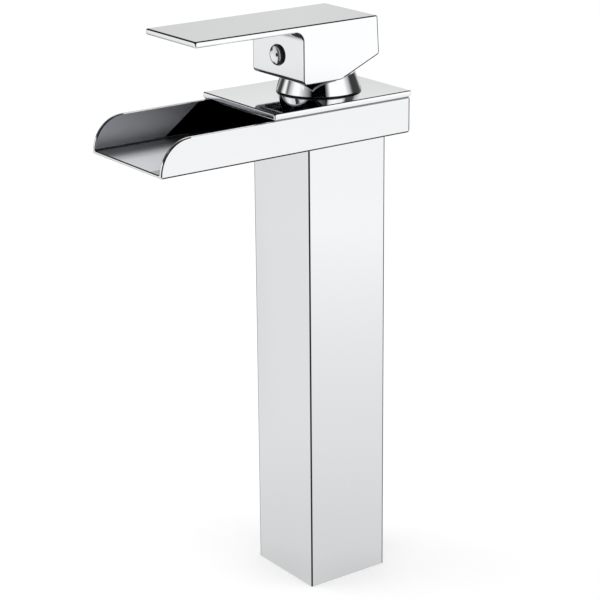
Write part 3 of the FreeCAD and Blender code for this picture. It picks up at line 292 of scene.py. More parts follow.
AXES = {
    "X": lambda across, along, deep: (deep, across, along),
    "Y": lambda across, along, deep: (across, deep, along),
    "Z": lambda across, along, deep: (across, along, deep),
}


def prism(name, outline, low, high, axis):
    """A solid with one outline from low to high along the axis."""
    shape = bmesh.new()
    rings = skin(shape, [[AXES[axis](*point, deep) for point in outline] for deep in (low, high)], closed=False)
    for ring in rings:
        shape.faces.new(ring)
    return new_object(name, shape)


def lathe(name, outline, across=0.0, along=0.0, axis="Z", steps=ROUND_STEPS):
    """A closed outline of (radius, height) turned about an axis; across and along place the axis."""
    shape = bmesh.new()
    turns = [math.tau * step / steps for step in range(steps)]
    rings = [[AXES[axis](across + radius * math.cos(turn), along + radius * math.sin(turn), height)
              for turn in turns] for radius, height in outline]
    skin(shape, rings, closed=True)
    bmesh.ops.remove_doubles(shape, verts=shape.verts, dist=WELD)
    return new_object(name, shape)


def settle(obj):
    """The modified shape becomes the object's own mesh."""
    depsgraph = bpy.context.evaluated_depsgraph_get()
    made = bpy.data.meshes.new_from_object(obj.evaluated_get(depsgraph), preserve_all_data_layers=True,
                                           depsgraph=depsgraph)
    old = obj.data
    obj.modifiers.clear()
    obj.data = made
    bpy.data.meshes.remove(old)
    made.name = obj.name
    if not made.polygons:
        raise RuntimeError(obj.name + " has no faces")


def combine(obj, operation, others):
    """Join, cut or cross the object with others, which are then removed."""
    for other in others:
        modifier = obj.modifiers.new(operation, "BOOLEAN")
        modifier.operation = operation
        modifier.solver = "EXACT"
        modifier.object = other
    settle(obj)
    for other in others:
        mesh = other.data
        bpy.data.objects.remove(other)
        bpy.data.meshes.remove(mesh)


def drill(radius, low, high, **place):
    """A round cutter from low to high along its axis."""
    return lathe("drill", [(0, low), (radius, low), (radius, high), (0, high)], **place)


def shavings(across, along, corner, low, high):
    """Cutters that round the two upright corners at plus and minus across."""
    way = math.copysign(1, along)
    inner, outer = across - corner, across + CLEAR
    start, end = along - way * corner, along + way * CLEAR
    outline = arc(inner, start, corner, 0, way * 90) + [(inner, end), (outer, end), (outer, start)]
    return [prism("shaving", [(hand * place, deep) for place, deep in outline], low - CLEAR, high + CLEAR, "Z")
            for hand in (-1, 1)]


def ease_edges(obj, radius_at, materials):
    """Round each sharp edge by the radius that the rule gives for its middle; rounds take the last material."""
    for material in materials:
        obj.data.materials.append(material)
    shape = bmesh.new()
    shape.from_mesh(obj.data)
    weights = shape.edges.layers.float.new("bevel_weight_edge")
    radii = {edge: radius_at((edge.verts[0].co + edge.verts[1].co) / 2) for edge in shape.edges
             if edge.is_manifold and edge.calc_face_angle() > SHARP_ANGLE}
    largest = max(radii.values())
    for edge, radius in radii.items():
        edge[weights] = radius / largest
    shape.to_mesh(obj.data)
    shape.free()
    modifier = obj.modifiers.new("Eased edges", "BEVEL")
    modifier.width = largest
    modifier.segments = EDGE_STEPS
    modifier.limit_method = "WEIGHT"
    modifier.use_clamp_overlap = False
    modifier.material = len(materials) - 1
    settle(obj)


def paint(obj, material, chosen):
    """Faces whose middle and normal meet the rule take that one of the object's materials."""
    index = obj.data.materials.find(material.name)
    for face in obj.data.polygons:
        if chosen(face.center, face.normal):
            face.material_index = index


def lesser(vector):
    """The smaller of a vector's shares along X and Y."""
    return min(abs(vector.x), abs(vector.y))


def greater(vector):
    """The greater of a vector's shares along X and Y."""
    return max(abs(vector.x), abs(vector.y))


def between_walls(normal):
    """Whether a face is the middle of a rounding between two upright faces."""
    return abs(normal.z) < HARDLY and lesser(normal) > HALFWAY


def smooth(obj):
    """Rounded stretches shade smoothly and flat faces stay flat."""
    obj.data.shade_smooth()
    obj.data.set_sharp_from_angle(angle=SHARP_ANGLE)
    modifier = obj.modifiers.new("Face normals", "WEIGHTED_NORMAL")
    modifier.keep_sharp = True
    modifier.weight = 100
    settle(obj)


def mount(obj, body, materials, nodes=()):
    """Finish, body, material slot and the frame's nodes that the piece stands for."""
    if list(obj.data.materials) != list(materials):
        obj.data.materials.clear()
        for material in materials:
            obj.data.materials.append(material)
    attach(obj, body)
    if nodes:
        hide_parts(*nodes)


# ---------------------------------------------------------------- node trees


def feed(tree, node, inputs):
    """The node, with a value or another node's output in each of the named inputs."""
    for key, value in inputs.items():
        if isinstance(value, bpy.types.NodeSocket):
            tree.links.new(value, node.inputs[key])
        else:
            node.inputs[key].default_value = value
    return node


def add_node(tree, kind, inputs=None, **settings):
    """A node with its settings and inputs."""
    node = tree.nodes.new(kind)
    for name, value in settings.items():
        setattr(node, name, value)
    return feed(tree, node, inputs or {})


def grade(node, stops):
    """The colour of a ramp that gets its stops of (place, grey)."""
    elements = node.color_ramp.elements
    while len(elements) < len(stops):
        elements.new(1.0)
    places, greys = zip(*stops)
    # all places come first, because a moved stop can change the order
    for element, place in zip(elements, places):
        element.position = place
    for element, grey in zip(elements, greys):
        element.color = (grey, grey, grey, 1.0)
    return node.outputs["Color"]


def bare_tree(owner):
    """The empty node tree of a material or world."""
    owner.use_nodes = True
    owner.node_tree.nodes.clear()
    return owner.node_tree


def geometry_tree(name, inputs):
    """A Geometry Nodes tree with named number and material inputs."""
    tree = bpy.data.node_groups.new(name, "GeometryNodeTree")
    tree.interface.new_socket("Geometry", in_out="OUTPUT", socket_type="NodeSocketGeometry")
    for socket, kind in inputs:
        tree.interface.new_socket(socket, in_out="INPUT", socket_type="NodeSocket" + kind)
    return tree, add_node(tree, "NodeGroupInput").outputs


def finish_tree(tree, geometry, material):
    """Real geometry with its material at the end of the tree."""
    real = add_node(tree, "GeometryNodeRealizeInstances", {"Geometry": geometry})
    finished = add_node(tree, "GeometryNodeSetMaterial", {"Geometry": real.outputs[0], "Material": material})
    add_node(tree, "NodeGroupOutput", {"Geometry": finished.outputs[0]})


def grow(name, tree, values):
    """The mesh that a tree makes from the given inputs."""
    obj = bpy.data.objects.new(name, bpy.data.meshes.new(name))
    bpy.context.scene.collection.objects.link(obj)
    modifier = obj.modifiers.new(tree.name, "NODES")
    modifier.node_group = tree
    for item in tree.interface.items_tree:
        if item.in_out == "INPUT":
            modifier[item.identifier] = values[item.name]
    settle(obj)
    return obj


# ---------------------------------------------------------------- finishes


def new_material(name, base, metallic, roughness):
    """A material, its tree, its main shader and the piece's own coordinates."""
    material = bpy.data.materials.new(name)
    material.use_nodes = True
    tree = material.node_tree
    shader = feed(tree, tree.nodes["Principled BSDF"], {
        "Base Color": (*base, 1.0), "Metallic": metallic, "Roughness": roughness})
    return material, tree, shader, add_node(tree, "ShaderNodeTexCoord").outputs["Object"]


def uneven(tree, place, grain, low, high, detail=3.0):
    """A value between low and high that wanders over patches of the given size."""
    noise = add_node(tree, "ShaderNodeTexNoise", {"Vector": place, "Scale": 1 / grain, "Detail": detail})
    # nearly all of the noise lies between 0.3 and 0.7
    spread = add_node(tree, "ShaderNodeMapRange", {
        "Value": noise.outputs["Fac"], "From Min": 0.3, "From Max": 0.7, "To Min": low, "To Max": high})
    return spread.outputs["Result"]


def polished_chrome(name, base, roughness):
    """Buffed brass with nickel and chrome plating: a near-white mirror with faint wipe marks."""
    material, tree, shader, place = new_material(name, base, 1.0, roughness)
    # buffing leaves waves far below a hundredth of a millimetre
    waves = add_node(tree, "ShaderNodeBump", {
        "Height": uneven(tree, place, 9 * MM, 0.0, 1.0, detail=1.0), "Distance": 0.0015 * MM, "Strength": 1.0})
    feed(tree, shader, {"Roughness": uneven(tree, place, 22 * MM, roughness, roughness + 0.03),
                        "Normal": waves.outputs["Normal"]})
    return material


def channel_wall(name, base, roughness):
    """Satin plating on the channel's inner walls, in a darker grey as painted shade, and black towards the water
    passage as a painted reflection of the plate's dark underside.
    """
    material, tree, shader, place = new_material(name, base, 1.0, roughness)
    parts = add_node(tree, "ShaderNodeSeparateXYZ", {"Vector": place}).outputs
    # the painted reflection's black starts a little ahead of the plate at the rim, and further forward the lower it
    # is
    slope, ahead, blur = 1.37, 3.3 * MM, 0.4 * MM
    slant = add_node(tree, "ShaderNodeMath", {0: parts["Z"], 1: -slope, 2: parts["Y"]}, operation="MULTIPLY_ADD")
    start = PLATE_LOW.y - ahead - slope * CHANNEL_HIGH.z
    painted_plate_reflection = add_node(tree, "ShaderNodeMapRange", {
        "Value": slant.outputs[0], "From Min": start - blur, "From Max": start + blur})
    tint = add_node(tree, "ShaderNodeMix", {0: painted_plate_reflection.outputs["Result"], 6: (*base, 1.0), 7: BLACK}, data_type="RGBA")
    feed(tree, shader, {"Base Color": tint.outputs[2]})
    return material


def channel_bed(name, base, roughness):
    """Matt plating on the channel's floor, darker beside the walls as painted shade."""
    material, tree, shader, place = new_material(name, base, 0.2, roughness)
    parts = add_node(tree, "ShaderNodeSeparateXYZ", {"Vector": place}).outputs
    half = 22 * MM
    across = add_node(tree, "ShaderNodeMapRange", {"Value": parts["X"], "From Min": -half, "From Max": half})
    # painted shade: dark beside both walls, full colour in the middle
    shade_reach = grade(add_node(tree, "ShaderNodeValToRGB", {"Fac": across.outputs["Result"]}), [
        (0.02, 0.02), (0.12, 0.14), (0.26, 0.60), (0.40, 0.95), (0.52, 1.0), (0.97, 1.0), (1.0, 0.6)])
    tint = add_node(tree, "ShaderNodeMix", {0: 1.0, 6: (*base, 1.0), 7: shade_reach}, data_type="RGBA",
                    blend_type="MULTIPLY")
    feed(tree, shader, {"Base Color": tint.outputs[2]})
    return material


def turned_brass(name, base, roughness):
    """CW617N bar, turned on a lathe: warm metal with fine feed rings across the axis."""
    material, tree, shader, place = new_material(name, base, 1.0, roughness)
    # a real feed is 0.1 mm, drawn at 3.77 mm so that it shows; at scale 1 the bands turn by 20 radians a metre
    spacing = 3.77 * MM
    rings = add_node(tree, "ShaderNodeTexWave", {
        "Vector": place, "Scale": math.tau / (20 * spacing), "Distortion": 0.4}, bands_direction="Z")
    grooves = add_node(tree, "ShaderNodeBump", {
        "Height": rings.outputs["Fac"], "Distance": 0.01 * MM, "Strength": 0.4})
    feed(tree, shader, {"Roughness": uneven(tree, place, 5 * MM, roughness - 0.06, roughness + 0.08),
                        "Normal": grooves.outputs["Normal"]})
    return material


def drawn_steel(name, base, roughness):
    """A2 stainless steel: cold-headed or rolled, grey with a soft satin."""
    material, tree, shader, place = new_material(name, base, 1.0, roughness)
    feed(tree, shader, {"Roughness": uneven(tree, place, 2 * MM, roughness, roughness + 0.16)})
    return material


def moulded_rubber(name, base, roughness):
    """EPDM seals: pressed rubber, nearly black, matt with a fine skin."""
    material, tree, shader, place = new_material(name, base, 0.0, roughness)
    grain = add_node(tree, "ShaderNodeBump", {
        "Height": uneven(tree, place, 0.35 * MM, 0.0, 1.0), "Distance": 0.02 * MM, "Strength": 0.5})
    feed(tree, shader, {"Roughness": uneven(tree, place, 3 * MM, roughness - 0.07, roughness + 0.13),
                        "Normal": grain.outputs["Normal"]})
    return material


def moulded_plastic(name, base, roughness):
    """Injection-moulded acetal or nylon: even colour with a faint mould texture."""
    material, tree, shader, place = new_material(name, base, 0.0, roughness)
    texture = add_node(tree, "ShaderNodeBump", {
        "Height": uneven(tree, place, 0.5 * MM, 0.0, 1.0), "Distance": 0.01 * MM, "Strength": 0.4})
    feed(tree, shader, {"Roughness": uneven(tree, place, 4 * MM, roughness - 0.05, roughness + 0.08),
                        "Normal": texture.outputs["Normal"], "IOR": 1.48})
    return material


def ground_ceramic(name, base, roughness):
    """Lapped alumina: hard, smooth and off-white, with a fine grain."""
    material, tree, shader, place = new_material(name, base, 0.0, roughness)
    feed(tree, shader, {"Roughness": uneven(tree, place, 0.4 * MM, roughness - 0.04, roughness + 0.08),
                        "IOR": 1.76})
    return material


def finishes(colours):
    """The record's material slots and the scene's own with their finishes, made the first time."""
    recipes = {
        "chrome": (polished_chrome, "polished chrome plating", colours.chrome, 0.03),
        # grey chrome as painted shade in hollows, gaps and undersides
        "recess": (polished_chrome, "thin grey plating", colours.recess, 0.05),
        # satin plating, its darker grey is painted shade
        "wall": (channel_wall, "satin grey plating", colours.wall, 0.34),
        # matt plating; its darkening beside the walls is painted shade
        "bed": (channel_bed, "matt chrome plating", colours.bed, 0.36),
        # dark chrome for painted dark reflections along the edges and painted shade in seams
        "edge": (polished_chrome, "burnished plating", colours.edge, 0.08),
        "chrome_dark": (polished_chrome, "dark chrome plating", colours.plug, 0.03),
        "brass": (turned_brass, "turned brass", colours.brass, 0.28),
        "steel": (drawn_steel, "rolled stainless steel", colours.steel, 0.24),
        # the baffle's near-black sheet is painted shade inside the channel
        "sheet": (drawn_steel, "bright rolled sheet", colours.sheet, 0.1),
        "rubber": (moulded_rubber, "moulded EPDM rubber", colours.rubber, 0.62),
        "white_plastic": (moulded_plastic, "moulded acetal", colours.acetal, 0.42),
        "grey_plastic": (moulded_plastic, "moulded nylon", colours.nylon, 0.5),
        "ceramic": (ground_ceramic, "lapped alumina ceramic", colours.alumina, 0.16),
        # black enamel in the dimple, and painted shade on the plug's rim
        "enamel": (moulded_plastic, "black enamel", colours.enamel, 0.5),
    }
    return {slot: bpy.data.materials.get(name) or make(name, base, roughness)
            for slot, (make, name, base, roughness) in recipes.items()}


# ---------------------------------------------------------------- pieces


class PieceOperator:
    """What the piece operators share."""

    bl_options = {"REGISTER", "UNDO"}

    def execute(self, context):
        scene = context.scene
        self.build(scene.faucet_sizes, finishes(scene.faucet_colours))
        return {"FINISHED"}


class FAUCET_OT_column(PieceOperator, bpy.types.Operator):
    """Square column tube with rounded corners and a small bevel at the foot"""

    bl_idname = "faucet.column"
    bl_label = "Column"

    def build(self, sizes, finish):
        side, top, seat = COLUMN_HIGH.x, COLUMN_HIGH.z, BASE_HIGH.z
        bore, foot = side - sizes.column_wall, side - sizes.foot_wall
        corner, bevel = sizes.column_corner, sizes.foot_bevel
        # half width, corner radius and height of each ring: up the outside and down the bore
        levels = [(side - bevel, corner - bevel, 0.0), (side, corner, bevel), (side, corner, top),
                  (bore, bevel, top), (bore, bevel, seat), (foot, bevel, seat), (foot, bevel, 0.0)]
        shape = bmesh.new()
        skin(shape, [[(*point, height) for point in rectangle(-half, half, -half, half, radius)]
                     for half, radius, height in levels], closed=True)
        column = new_object("column_tube", shape)
        smooth(column)
        mount(column, FAUCET, [finish["chrome"], finish["edge"]], ["column_shell"])
        # painted dark reflections on the corners: the whole rounding at two of them, and its middle half at the other
        # two
        whole, middle = 0.09, 0.35
        paint(column, finish["edge"], lambda at, normal: lesser(at) > side - corner and
              lesser(normal) > (whole if at.x * at.y > 0 else middle))


class FAUCET_OT_channel(PieceOperator, bpy.types.Operator):
    """Open waterfall channel with side walls that round off at the lip"""

    bl_idname = "faucet.channel"
    bl_label = "Channel"

    def build(self, sizes, finish):
        half, low, top = CHANNEL_HIGH.x, CHANNEL_LOW.z, CHANNEL_HIGH.z
        front, rear, corner = CHANNEL_LOW.y, CHANNEL_HIGH.y, sizes.channel_corner
        nose, cove, rim = top - low - sizes.nose_land, sizes.channel_cove, sizes.channel_rim
        floor, inner = low + sizes.channel_floor, half - sizes.channel_wall
        side = [*arc(rear - corner, low + corner, corner, 0, -90), (front, low),
                *arc(front + nose, top - nose, nose, 180, 90, steps=24), (rear, top)]
        channel = prism("waterfall_channel", side, -half, half, "X")
        hollow = prism("hollow", rounded([(-inner, floor, cove), (inner, floor, cove), (inner, top + CLEAR, 0),
                                          (-inner, top + CLEAR, 0)]),
                       front - CLEAR, rear - sizes.channel_wall, "Y")
        bore = COLUMN_HIGH.x - sizes.column_wall
        hole = prism("hole", rectangle(-bore, bore, -bore, bore), low - CLEAR, floor + CLEAR, "Z")
        combine(channel, "DIFFERENCE", [*shavings(half, rear, corner, low, top), hollow, hole])
        skins = [finish[name] for name in ("chrome", "wall", "bed", "edge")]

        def radius_at(at):
            if at.z < low + NEAR and at.y < front + NEAR:
                return sizes.lip_hem
            behind = at.z < low + corner and at.y > rear - corner
            return sizes.channel_hem if behind or at.z < low + NEAR else rim

        # the rounds take the edge finish: painted dark reflections along rims and hems
        ease_edges(channel, radius_at, skins)
        smooth(channel)
        mount(channel, FAUCET, skins, ["spout_trough"])
        paint(channel, finish["chrome"], lambda at, normal: at.y < front + sizes.lip_hem and at.z < floor - rim)
        # painted dark reflections on the back corners
        paint(channel, finish["edge"], lambda at, normal: at.y > rear - corner and abs(normal.z) < HALFWAY and
              HALFWAY < abs(normal.x) < FULLY and abs(at.x) > inner)
        paint(channel, finish["chrome"], lambda at, normal: at.y > PLATE_LOW.y and at.z > top - rim)
        # painted shade on the inner walls: a darker grey, and black towards the plate
        paint(channel, finish["wall"], lambda at, normal: abs(at.x) < inner + NEAR and normal.z < HARDLY and
              at.y < rear - sizes.channel_wall / 2 and floor < at.z < top - rim)
        # the floor takes painted shade beside the walls
        paint(channel, finish["bed"], lambda at, normal: abs(at.z - floor) < FLUSH and normal.z > MOSTLY)
        # painted shade in the cove between floor and walls
        paint(channel, finish["edge"], lambda at, normal: HARDLY < normal.z < FULLY and
              floor < at.z < floor + cove)


class FAUCET_OT_cover_plate(PieceOperator, bpy.types.Operator):
    """Flat plate over the back of the channel, with a shadow gap and centring ribs below"""

    bl_idname = "faucet.cover_plate"
    bl_label = "Cover plate"

    def build(self, sizes, finish):
        half, front, rear, top = PLATE_HIGH.x, PLATE_LOW.y, PLATE_HIGH.y, PLATE_HIGH.z
        low, corner = top - sizes.plate_thick, sizes.plate_corner
        landing = low - sizes.plate_gap
        plate = prism("plate_over_channel", rectangle(-half, half, front, rear, corner), low, top, "Z")
        skins = [finish["chrome"], finish["recess"], finish["edge"]]
        # the rounds take the edge finish, painted dark reflections; the rule below sets most back to chrome
        ease_edges(plate, lambda at: sizes.plate_edge, skins)
        step, overlap = sizes.plate_step, 0.2 * MM
        parts = [prism("step", rectangle(step - half, half - step, front + step, CHANNEL_HIGH.y - step),
                       landing, low + overlap, "Z")]
        outer = CHANNEL_HIGH.x - sizes.channel_wall - sizes.rib_gap
        first, last = front + sizes.rib_inset, CHANNEL_HIGH.y - sizes.rib_inset
        for side in (-1, 1):
            edges = sorted((side * outer, side * (outer - sizes.rib_wide)))
            parts.append(prism("rib", rectangle(*edges, first, last), PLATE_LOW.z, landing + overlap, "Z"))
        combine(plate, "UNION", parts)
        combine(plate, "DIFFERENCE", [drill(sizes.neck_r + sizes.neck_gap, landing - MM, top + MM)])
        smooth(plate)
        mount(plate, FAUCET, skins, ["cover_plate"])
        paint(plate, finish["chrome"], lambda at, normal: normal.z < HARDLY or greater(normal) > MOSTLY)
        # painted shade in the shadow gap below the plate's edge
        paint(plate, finish["recess"], lambda at, normal: abs(normal.z) < HARDLY and landing < at.z < low)
        # painted dark reflections on the corners
        paint(plate, finish["edge"], lambda at, normal: between_walls(normal) and at.z > low and
              abs(at.x) > half - corner)


class FAUCET_OT_bonnet(PieceOperator, bpy.types.Operator):
    """Conical collar between plate and lever"""

    bl_idname = "faucet.bonnet"
    bl_label = "Bonnet"

    def build(self, sizes, finish):
        low, top, wide = BONNET_LOW.z, BONNET_HIGH.z, BONNET_HIGH.x
        narrow, land = wide - sizes.bonnet_taper, low + sizes.bonnet_land
        thread, crease = sizes.neck_r + SLIP, low + sizes.neck_rise + sizes.bonnet_room
        cavity, roof = sizes.neck_r - sizes.bonnet_step, top - sizes.bonnet_roof
        mouth, edge, foot = sizes.bonnet_mouth, sizes.bonnet_edge, sizes.bonnet_foot
        middle, seal_top = (sizes.neck_r + wide) / 2, low + sizes.groove_deep
        seal_in, seal_out = middle - sizes.groove_half, middle + sizes.groove_half
        outline = rounded([
            (wide, low, foot), (wide, land, sizes.bonnet_break), (narrow, top, edge), (mouth, top, edge),
            (mouth, roof, 0), (cavity, roof, 0), (cavity, crease, 0), (thread, crease, 0), (thread, low, 0),
            (seal_in, low, 0), (seal_in, seal_top, 0), (seal_out, seal_top, 0), (seal_out, low, 0)])
        bonnet = lathe("cone_collar", outline, steps=160)
        smooth(bonnet)
        mount(bonnet, FAUCET, [finish["chrome"], finish["edge"]], ["bonnet"])
        # painted shadow along the bonnet's foot
        paint(bonnet, finish["edge"], lambda at, normal: at.z < land and math.hypot(at.x, at.y) > wide - foot)


class FAUCET_OT_lever(PieceOperator, bpy.types.Operator):
    """Flat blade with a hollow block below it, bevelled at the back so that it can lift"""

    bl_idname = "faucet.lever"
    bl_label = "Lever"

    def build(self, sizes, finish):
        half, tip, rear = LEVER_HIGH.x, LEVER_LOW.y, LEVER_HIGH.y
        low, top = LEVER_LOW.z, LEVER_HIGH.z
        blade, face = top - sizes.blade_thick, -sizes.block_front
        corner, root, toe = sizes.blade_corner, sizes.blade_root, sizes.block_toe
        lift = next(joint for joint in frame["joints"] if joint["name"] == "lever_lift")["range_deg"][1]
        slope = math.tan(math.radians(lift))
        start = -sizes.bevel_radius * math.tan(math.radians(lift) / 2)
        outline = rounded([
            (tip, blade, 0), (face, blade, root), (face, low, toe), (start, low, sizes.block_heel),
            (rear, low + (rear - start) * slope, 0), (sizes.block_rear, top, 0), (tip, top, 0)])
        lever = prism("lever_blade", outline, -half, half, "X")
        combine(lever, "DIFFERENCE", shavings(half, tip, corner, low, top))
        skins = [finish["chrome"], finish["recess"], finish["edge"]]
        # the rounds take the edge finish, painted dark reflections
        ease_edges(lever, lambda at: sizes.edge, skins)
        wall, roof = sizes.block_wall, top - sizes.block_roof
        inner, inner_front, inner_rear = half - wall, face + wall, sizes.block_rear - wall
        cavity = prism("cavity", rectangle(-inner, inner, inner_front, inner_rear, sizes.cavity_corner),
                       low - MM, roof, "Z")
        combine(lever, "DIFFERENCE", [cavity])
        boss, boss_low = sizes.boss_half, low + sizes.boss_rise
        combine(lever, "UNION", [prism("boss", rectangle(-boss, boss, inner_front - wall / 2, boss),
                                       boss_low, roof + wall / 2, "Z")])
        grip, height = SPINDLE_HIGH.x + SLIP, (PLUG_LOW.z + PLUG_HIGH.z) / 2
        cuts = [prism("socket", rectangle(-grip, grip, -grip, grip), boss_low - MM,
                      SPINDLE_HIGH.z + sizes.socket_room, "Z")]
        for radius, deep in ((sizes.screw_bore, 0.0),
                             (sizes.plug_stem + SLIP, PLUG_HIGH.y + sizes.plug_room),
                             (PLUG_HIGH.x + sizes.plug_ring, face + sizes.plug_recess)):
            cuts.append(drill(radius, face - MM, deep, along=height, axis="Y", steps=64))
        combine(lever, "DIFFERENCE", cuts)
        smooth(lever)
        mount(lever, LEVER, skins, ["lever_handle"])
        # painted dark reflections stay on the edges where they catch the eye; the rest of the roundings shines like
        # the faces beside them
        leftward, downward = -0.2, -0.25
        paint(lever, finish["chrome"], lambda at, normal: at.y < face - root and normal.z < HARDLY or
              greater(normal) > MOSTLY and (normal.z > HARDLY or at.y < 0 and normal.x > leftward))
        # painted dark reflections on the tip's corners
        paint(lever, finish["edge"], lambda at, normal: between_walls(normal) and at.y < tip + corner)
        # painted shade along the block's lower front edge
        paint(lever, finish["edge"], lambda at, normal: normal.z < downward and at.z < low + toe and
              at.y < face + toe)
        # painted shade on the block's underside
        paint(lever, finish["recess"], lambda at, normal: normal.z < -FULLY and at.z < low + NEAR)
        # painted shade inside the block's hollow
        paint(lever, finish["recess"], lambda at, normal: abs(at.x) < inner + NEAR and
              low + NEAR < at.z < roof + wall and face + NEAR < at.y < inner_rear + NEAR)


class FAUCET_OT_plug(PieceOperator, bpy.types.Operator):
    """Round dished plug with a dimple, pressed into the front of the lever's block"""

    bl_idname = "faucet.plug"
    bl_label = "Index plug"

    def build(self, sizes, finish):
        head, height = PLUG_HIGH.x, (PLUG_LOW.z + PLUG_HIGH.z) / 2
        face, back, seat = PLUG_LOW.y, PLUG_HIGH.y, -sizes.block_front + sizes.plug_recess
        stem, lead, dimple = sizes.plug_stem, sizes.plug_lead, sizes.plug_dimple
        # a rounded rim around a dish that falls to the dimple, which narrows a little
        bead, dish, roll, narrowing = sizes.plug_bead, sizes.plug_dish, -125, 0.9
        rim = arc(head - bead, face + bead, bead, 0, roll)
        across, along = rim[-1]
        centre = along - math.sqrt(dish ** 2 - across ** 2)
        fall = [math.degrees(math.acos(place / dish)) for place in (across, dimple)]
        hollow = arc(0, centre, dish, *fall, steps=12)
        bottom = hollow[-1][1] + sizes.plug_hole
        outline = [(0, back), (stem - lead, back), (stem, back - lead), (stem, seat), (head, seat), *rim,
                   *hollow[1:], (dimple * narrowing, bottom), (0, bottom)]
        plug = lathe("dished_plug", outline, along=height, axis="Y", steps=96)
        smooth(plug)
        mount(plug, LEVER, [finish["chrome_dark"], finish["enamel"]], ["index_plug"])
        # black enamel in the dimple, and painted shade on the rim around the dish
        dish_edge = head - 1.5 * bead
        paint(plug, finish["enamel"], lambda at, normal: at.y < seat + MM and
              not dimple < math.hypot(at.x, at.z - height) < dish_edge)


class FAUCET_OT_baffle(PieceOperator, bpy.types.Operator):
    """Bent sheet with rows of holes that calms the water in the channel"""

    bl_idname = "faucet.baffle"
    bl_label = "Flow baffle"

    HOLES, ROWS = 13, 2

    def build(self, sizes, finish):
        low, high = BAFFLE_LOW, BAFFLE_HIGH
        sheet, bend = sizes.baffle_sheet, sizes.baffle_bend
        outline = rounded([(low.y, low.z, bend + sheet), (high.y, low.z, 0), (high.y, low.z + sheet, 0),
                           (low.y + sheet, low.z + sheet, bend), (low.y + sheet, high.z, 0), (low.y, high.z, 0)])
        blank = prism("baffle_blank", outline, low.x, high.x, "X")
        tree, given = geometry_tree("Perforated sheet", [
            ("Blank", "Object"), ("Holes", "Int"), ("Rows", "Int"), ("Length", "Float"), ("Row gap", "Float"),
            ("Radius", "Float"), ("Punch", "Float"), ("Centre", "Vector"), ("Finish", "Material")])
        sheet_in = add_node(tree, "GeometryNodeObjectInfo", {"Object": given["Blank"]})
        spots = add_node(tree, "GeometryNodeMeshGrid", {
            "Size X": given["Length"], "Size Y": given["Row gap"], "Vertices X": given["Holes"],
            "Vertices Y": given["Rows"]})
        punch = add_node(tree, "GeometryNodeMeshCylinder", {
            "Vertices": 24, "Radius": given["Radius"], "Depth": given["Punch"]})
        punches = add_node(tree, "GeometryNodeInstanceOnPoints", {
            "Points": spots.outputs["Mesh"], "Instance": punch.outputs["Mesh"]})
        across_sheet = add_node(tree, "GeometryNodeTransform", {
            "Geometry": punches.outputs[0], "Translation": given["Centre"], "Rotation": (math.pi / 2, 0.0, 0.0)})
        real = add_node(tree, "GeometryNodeRealizeInstances", {"Geometry": across_sheet.outputs[0]})
        cut = add_node(tree, "GeometryNodeMeshBoolean", {
            "Mesh 1": sheet_in.outputs["Geometry"], "Mesh 2": real.outputs[0]}, operation="DIFFERENCE",
            solver="EXACT")
        finish_tree(tree, cut.outputs["Mesh"], given["Finish"])
        tall = high.z - low.z
        baffle = grow("perforated_baffle", tree, {
            "Blank": blank, "Holes": self.HOLES, "Rows": self.ROWS,
            "Length": high.x - low.x - 2 * sizes.baffle_margin, "Row gap": tall / (self.ROWS + 1),
            "Radius": sizes.baffle_hole, "Punch": sheet * 4,
            "Centre": (0.0, low.y + sheet / 2, low.z + tall / 2), "Finish": finish["sheet"]})
        bpy.data.objects.remove(blank)
        smooth(baffle)
        # its near-black sheet is painted shade inside the channel
        mount(baffle, FAUCET, [finish["sheet"]], ["flow_baffle"])


class FAUCET_OT_threads(PieceOperator, bpy.types.Operator):
    """Thread teeth in the two hose inlets and in the hole for the fixing stud"""

    bl_idname = "faucet.threads"
    bl_label = "Threads"

    def build(self, sizes, finish):
        tree, given = geometry_tree("Thread", [
            ("Radius", "Float"), ("Turns", "Float"), ("Length", "Float"), ("Tooth", "Float"), ("Foot", "Vector"),
            ("Finish", "Material")])
        helix = add_node(tree, "GeometryNodeCurveSpiral", {
            "Resolution": 32, "Rotations": given["Turns"], "Start Radius": given["Radius"],
            "End Radius": given["Radius"], "Height": given["Length"]})
        tooth = add_node(tree, "GeometryNodeCurvePrimitiveCircle", {"Resolution": 3, "Radius": given["Tooth"]})
        swept = add_node(tree, "GeometryNodeCurveToMesh", {
            "Curve": helix.outputs["Curve"], "Profile Curve": tooth.outputs["Curve"], "Fill Caps": True})
        placed = add_node(tree, "GeometryNodeTransform", {
            "Geometry": swept.outputs["Mesh"], "Translation": given["Foot"]})
        finish_tree(tree, placed.outputs[0], given["Finish"])
        inlet = (sizes.inlet_core, sizes.inlet_pitch, sizes.inlet_deep)
        holes = {
            "hot_inlet_thread": (*inlet, (-sizes.inlet_side, -sizes.inlet_front)),
            "cold_inlet_thread": (*inlet, (sizes.inlet_side, -sizes.inlet_front)),
            "stud_thread": (sizes.stud_core, sizes.stud_pitch, sizes.stud_deep, (0.0, sizes.stud_back)),
        }
        for name, (core, pitch, deep, (across, along)) in holes.items():
            length = deep - 2 * pitch
            thread = grow(name, tree, {
                "Radius": core, "Turns": length / pitch, "Length": length, "Tooth": sizes.thread_tooth,
                "Foot": (across, along, pitch), "Finish": finish["brass"]})
            mount(thread, FAUCET, [finish["brass"]])


class FAUCET_OT_inner_pieces(PieceOperator, bpy.types.Operator):
    """Finishes for the frame's own pieces: body, cartridge, tubes, seals and screws"""

    bl_idname = "faucet.inner_pieces"
    bl_label = "Inner pieces"

    def build(self, sizes, finish):
        for node in frame["nodes"].values():
            for place in node.material_slots:
                if place.material.name in finish:
                    place.material = finish[place.material.name]


# ---------------------------------------------------------------- studio


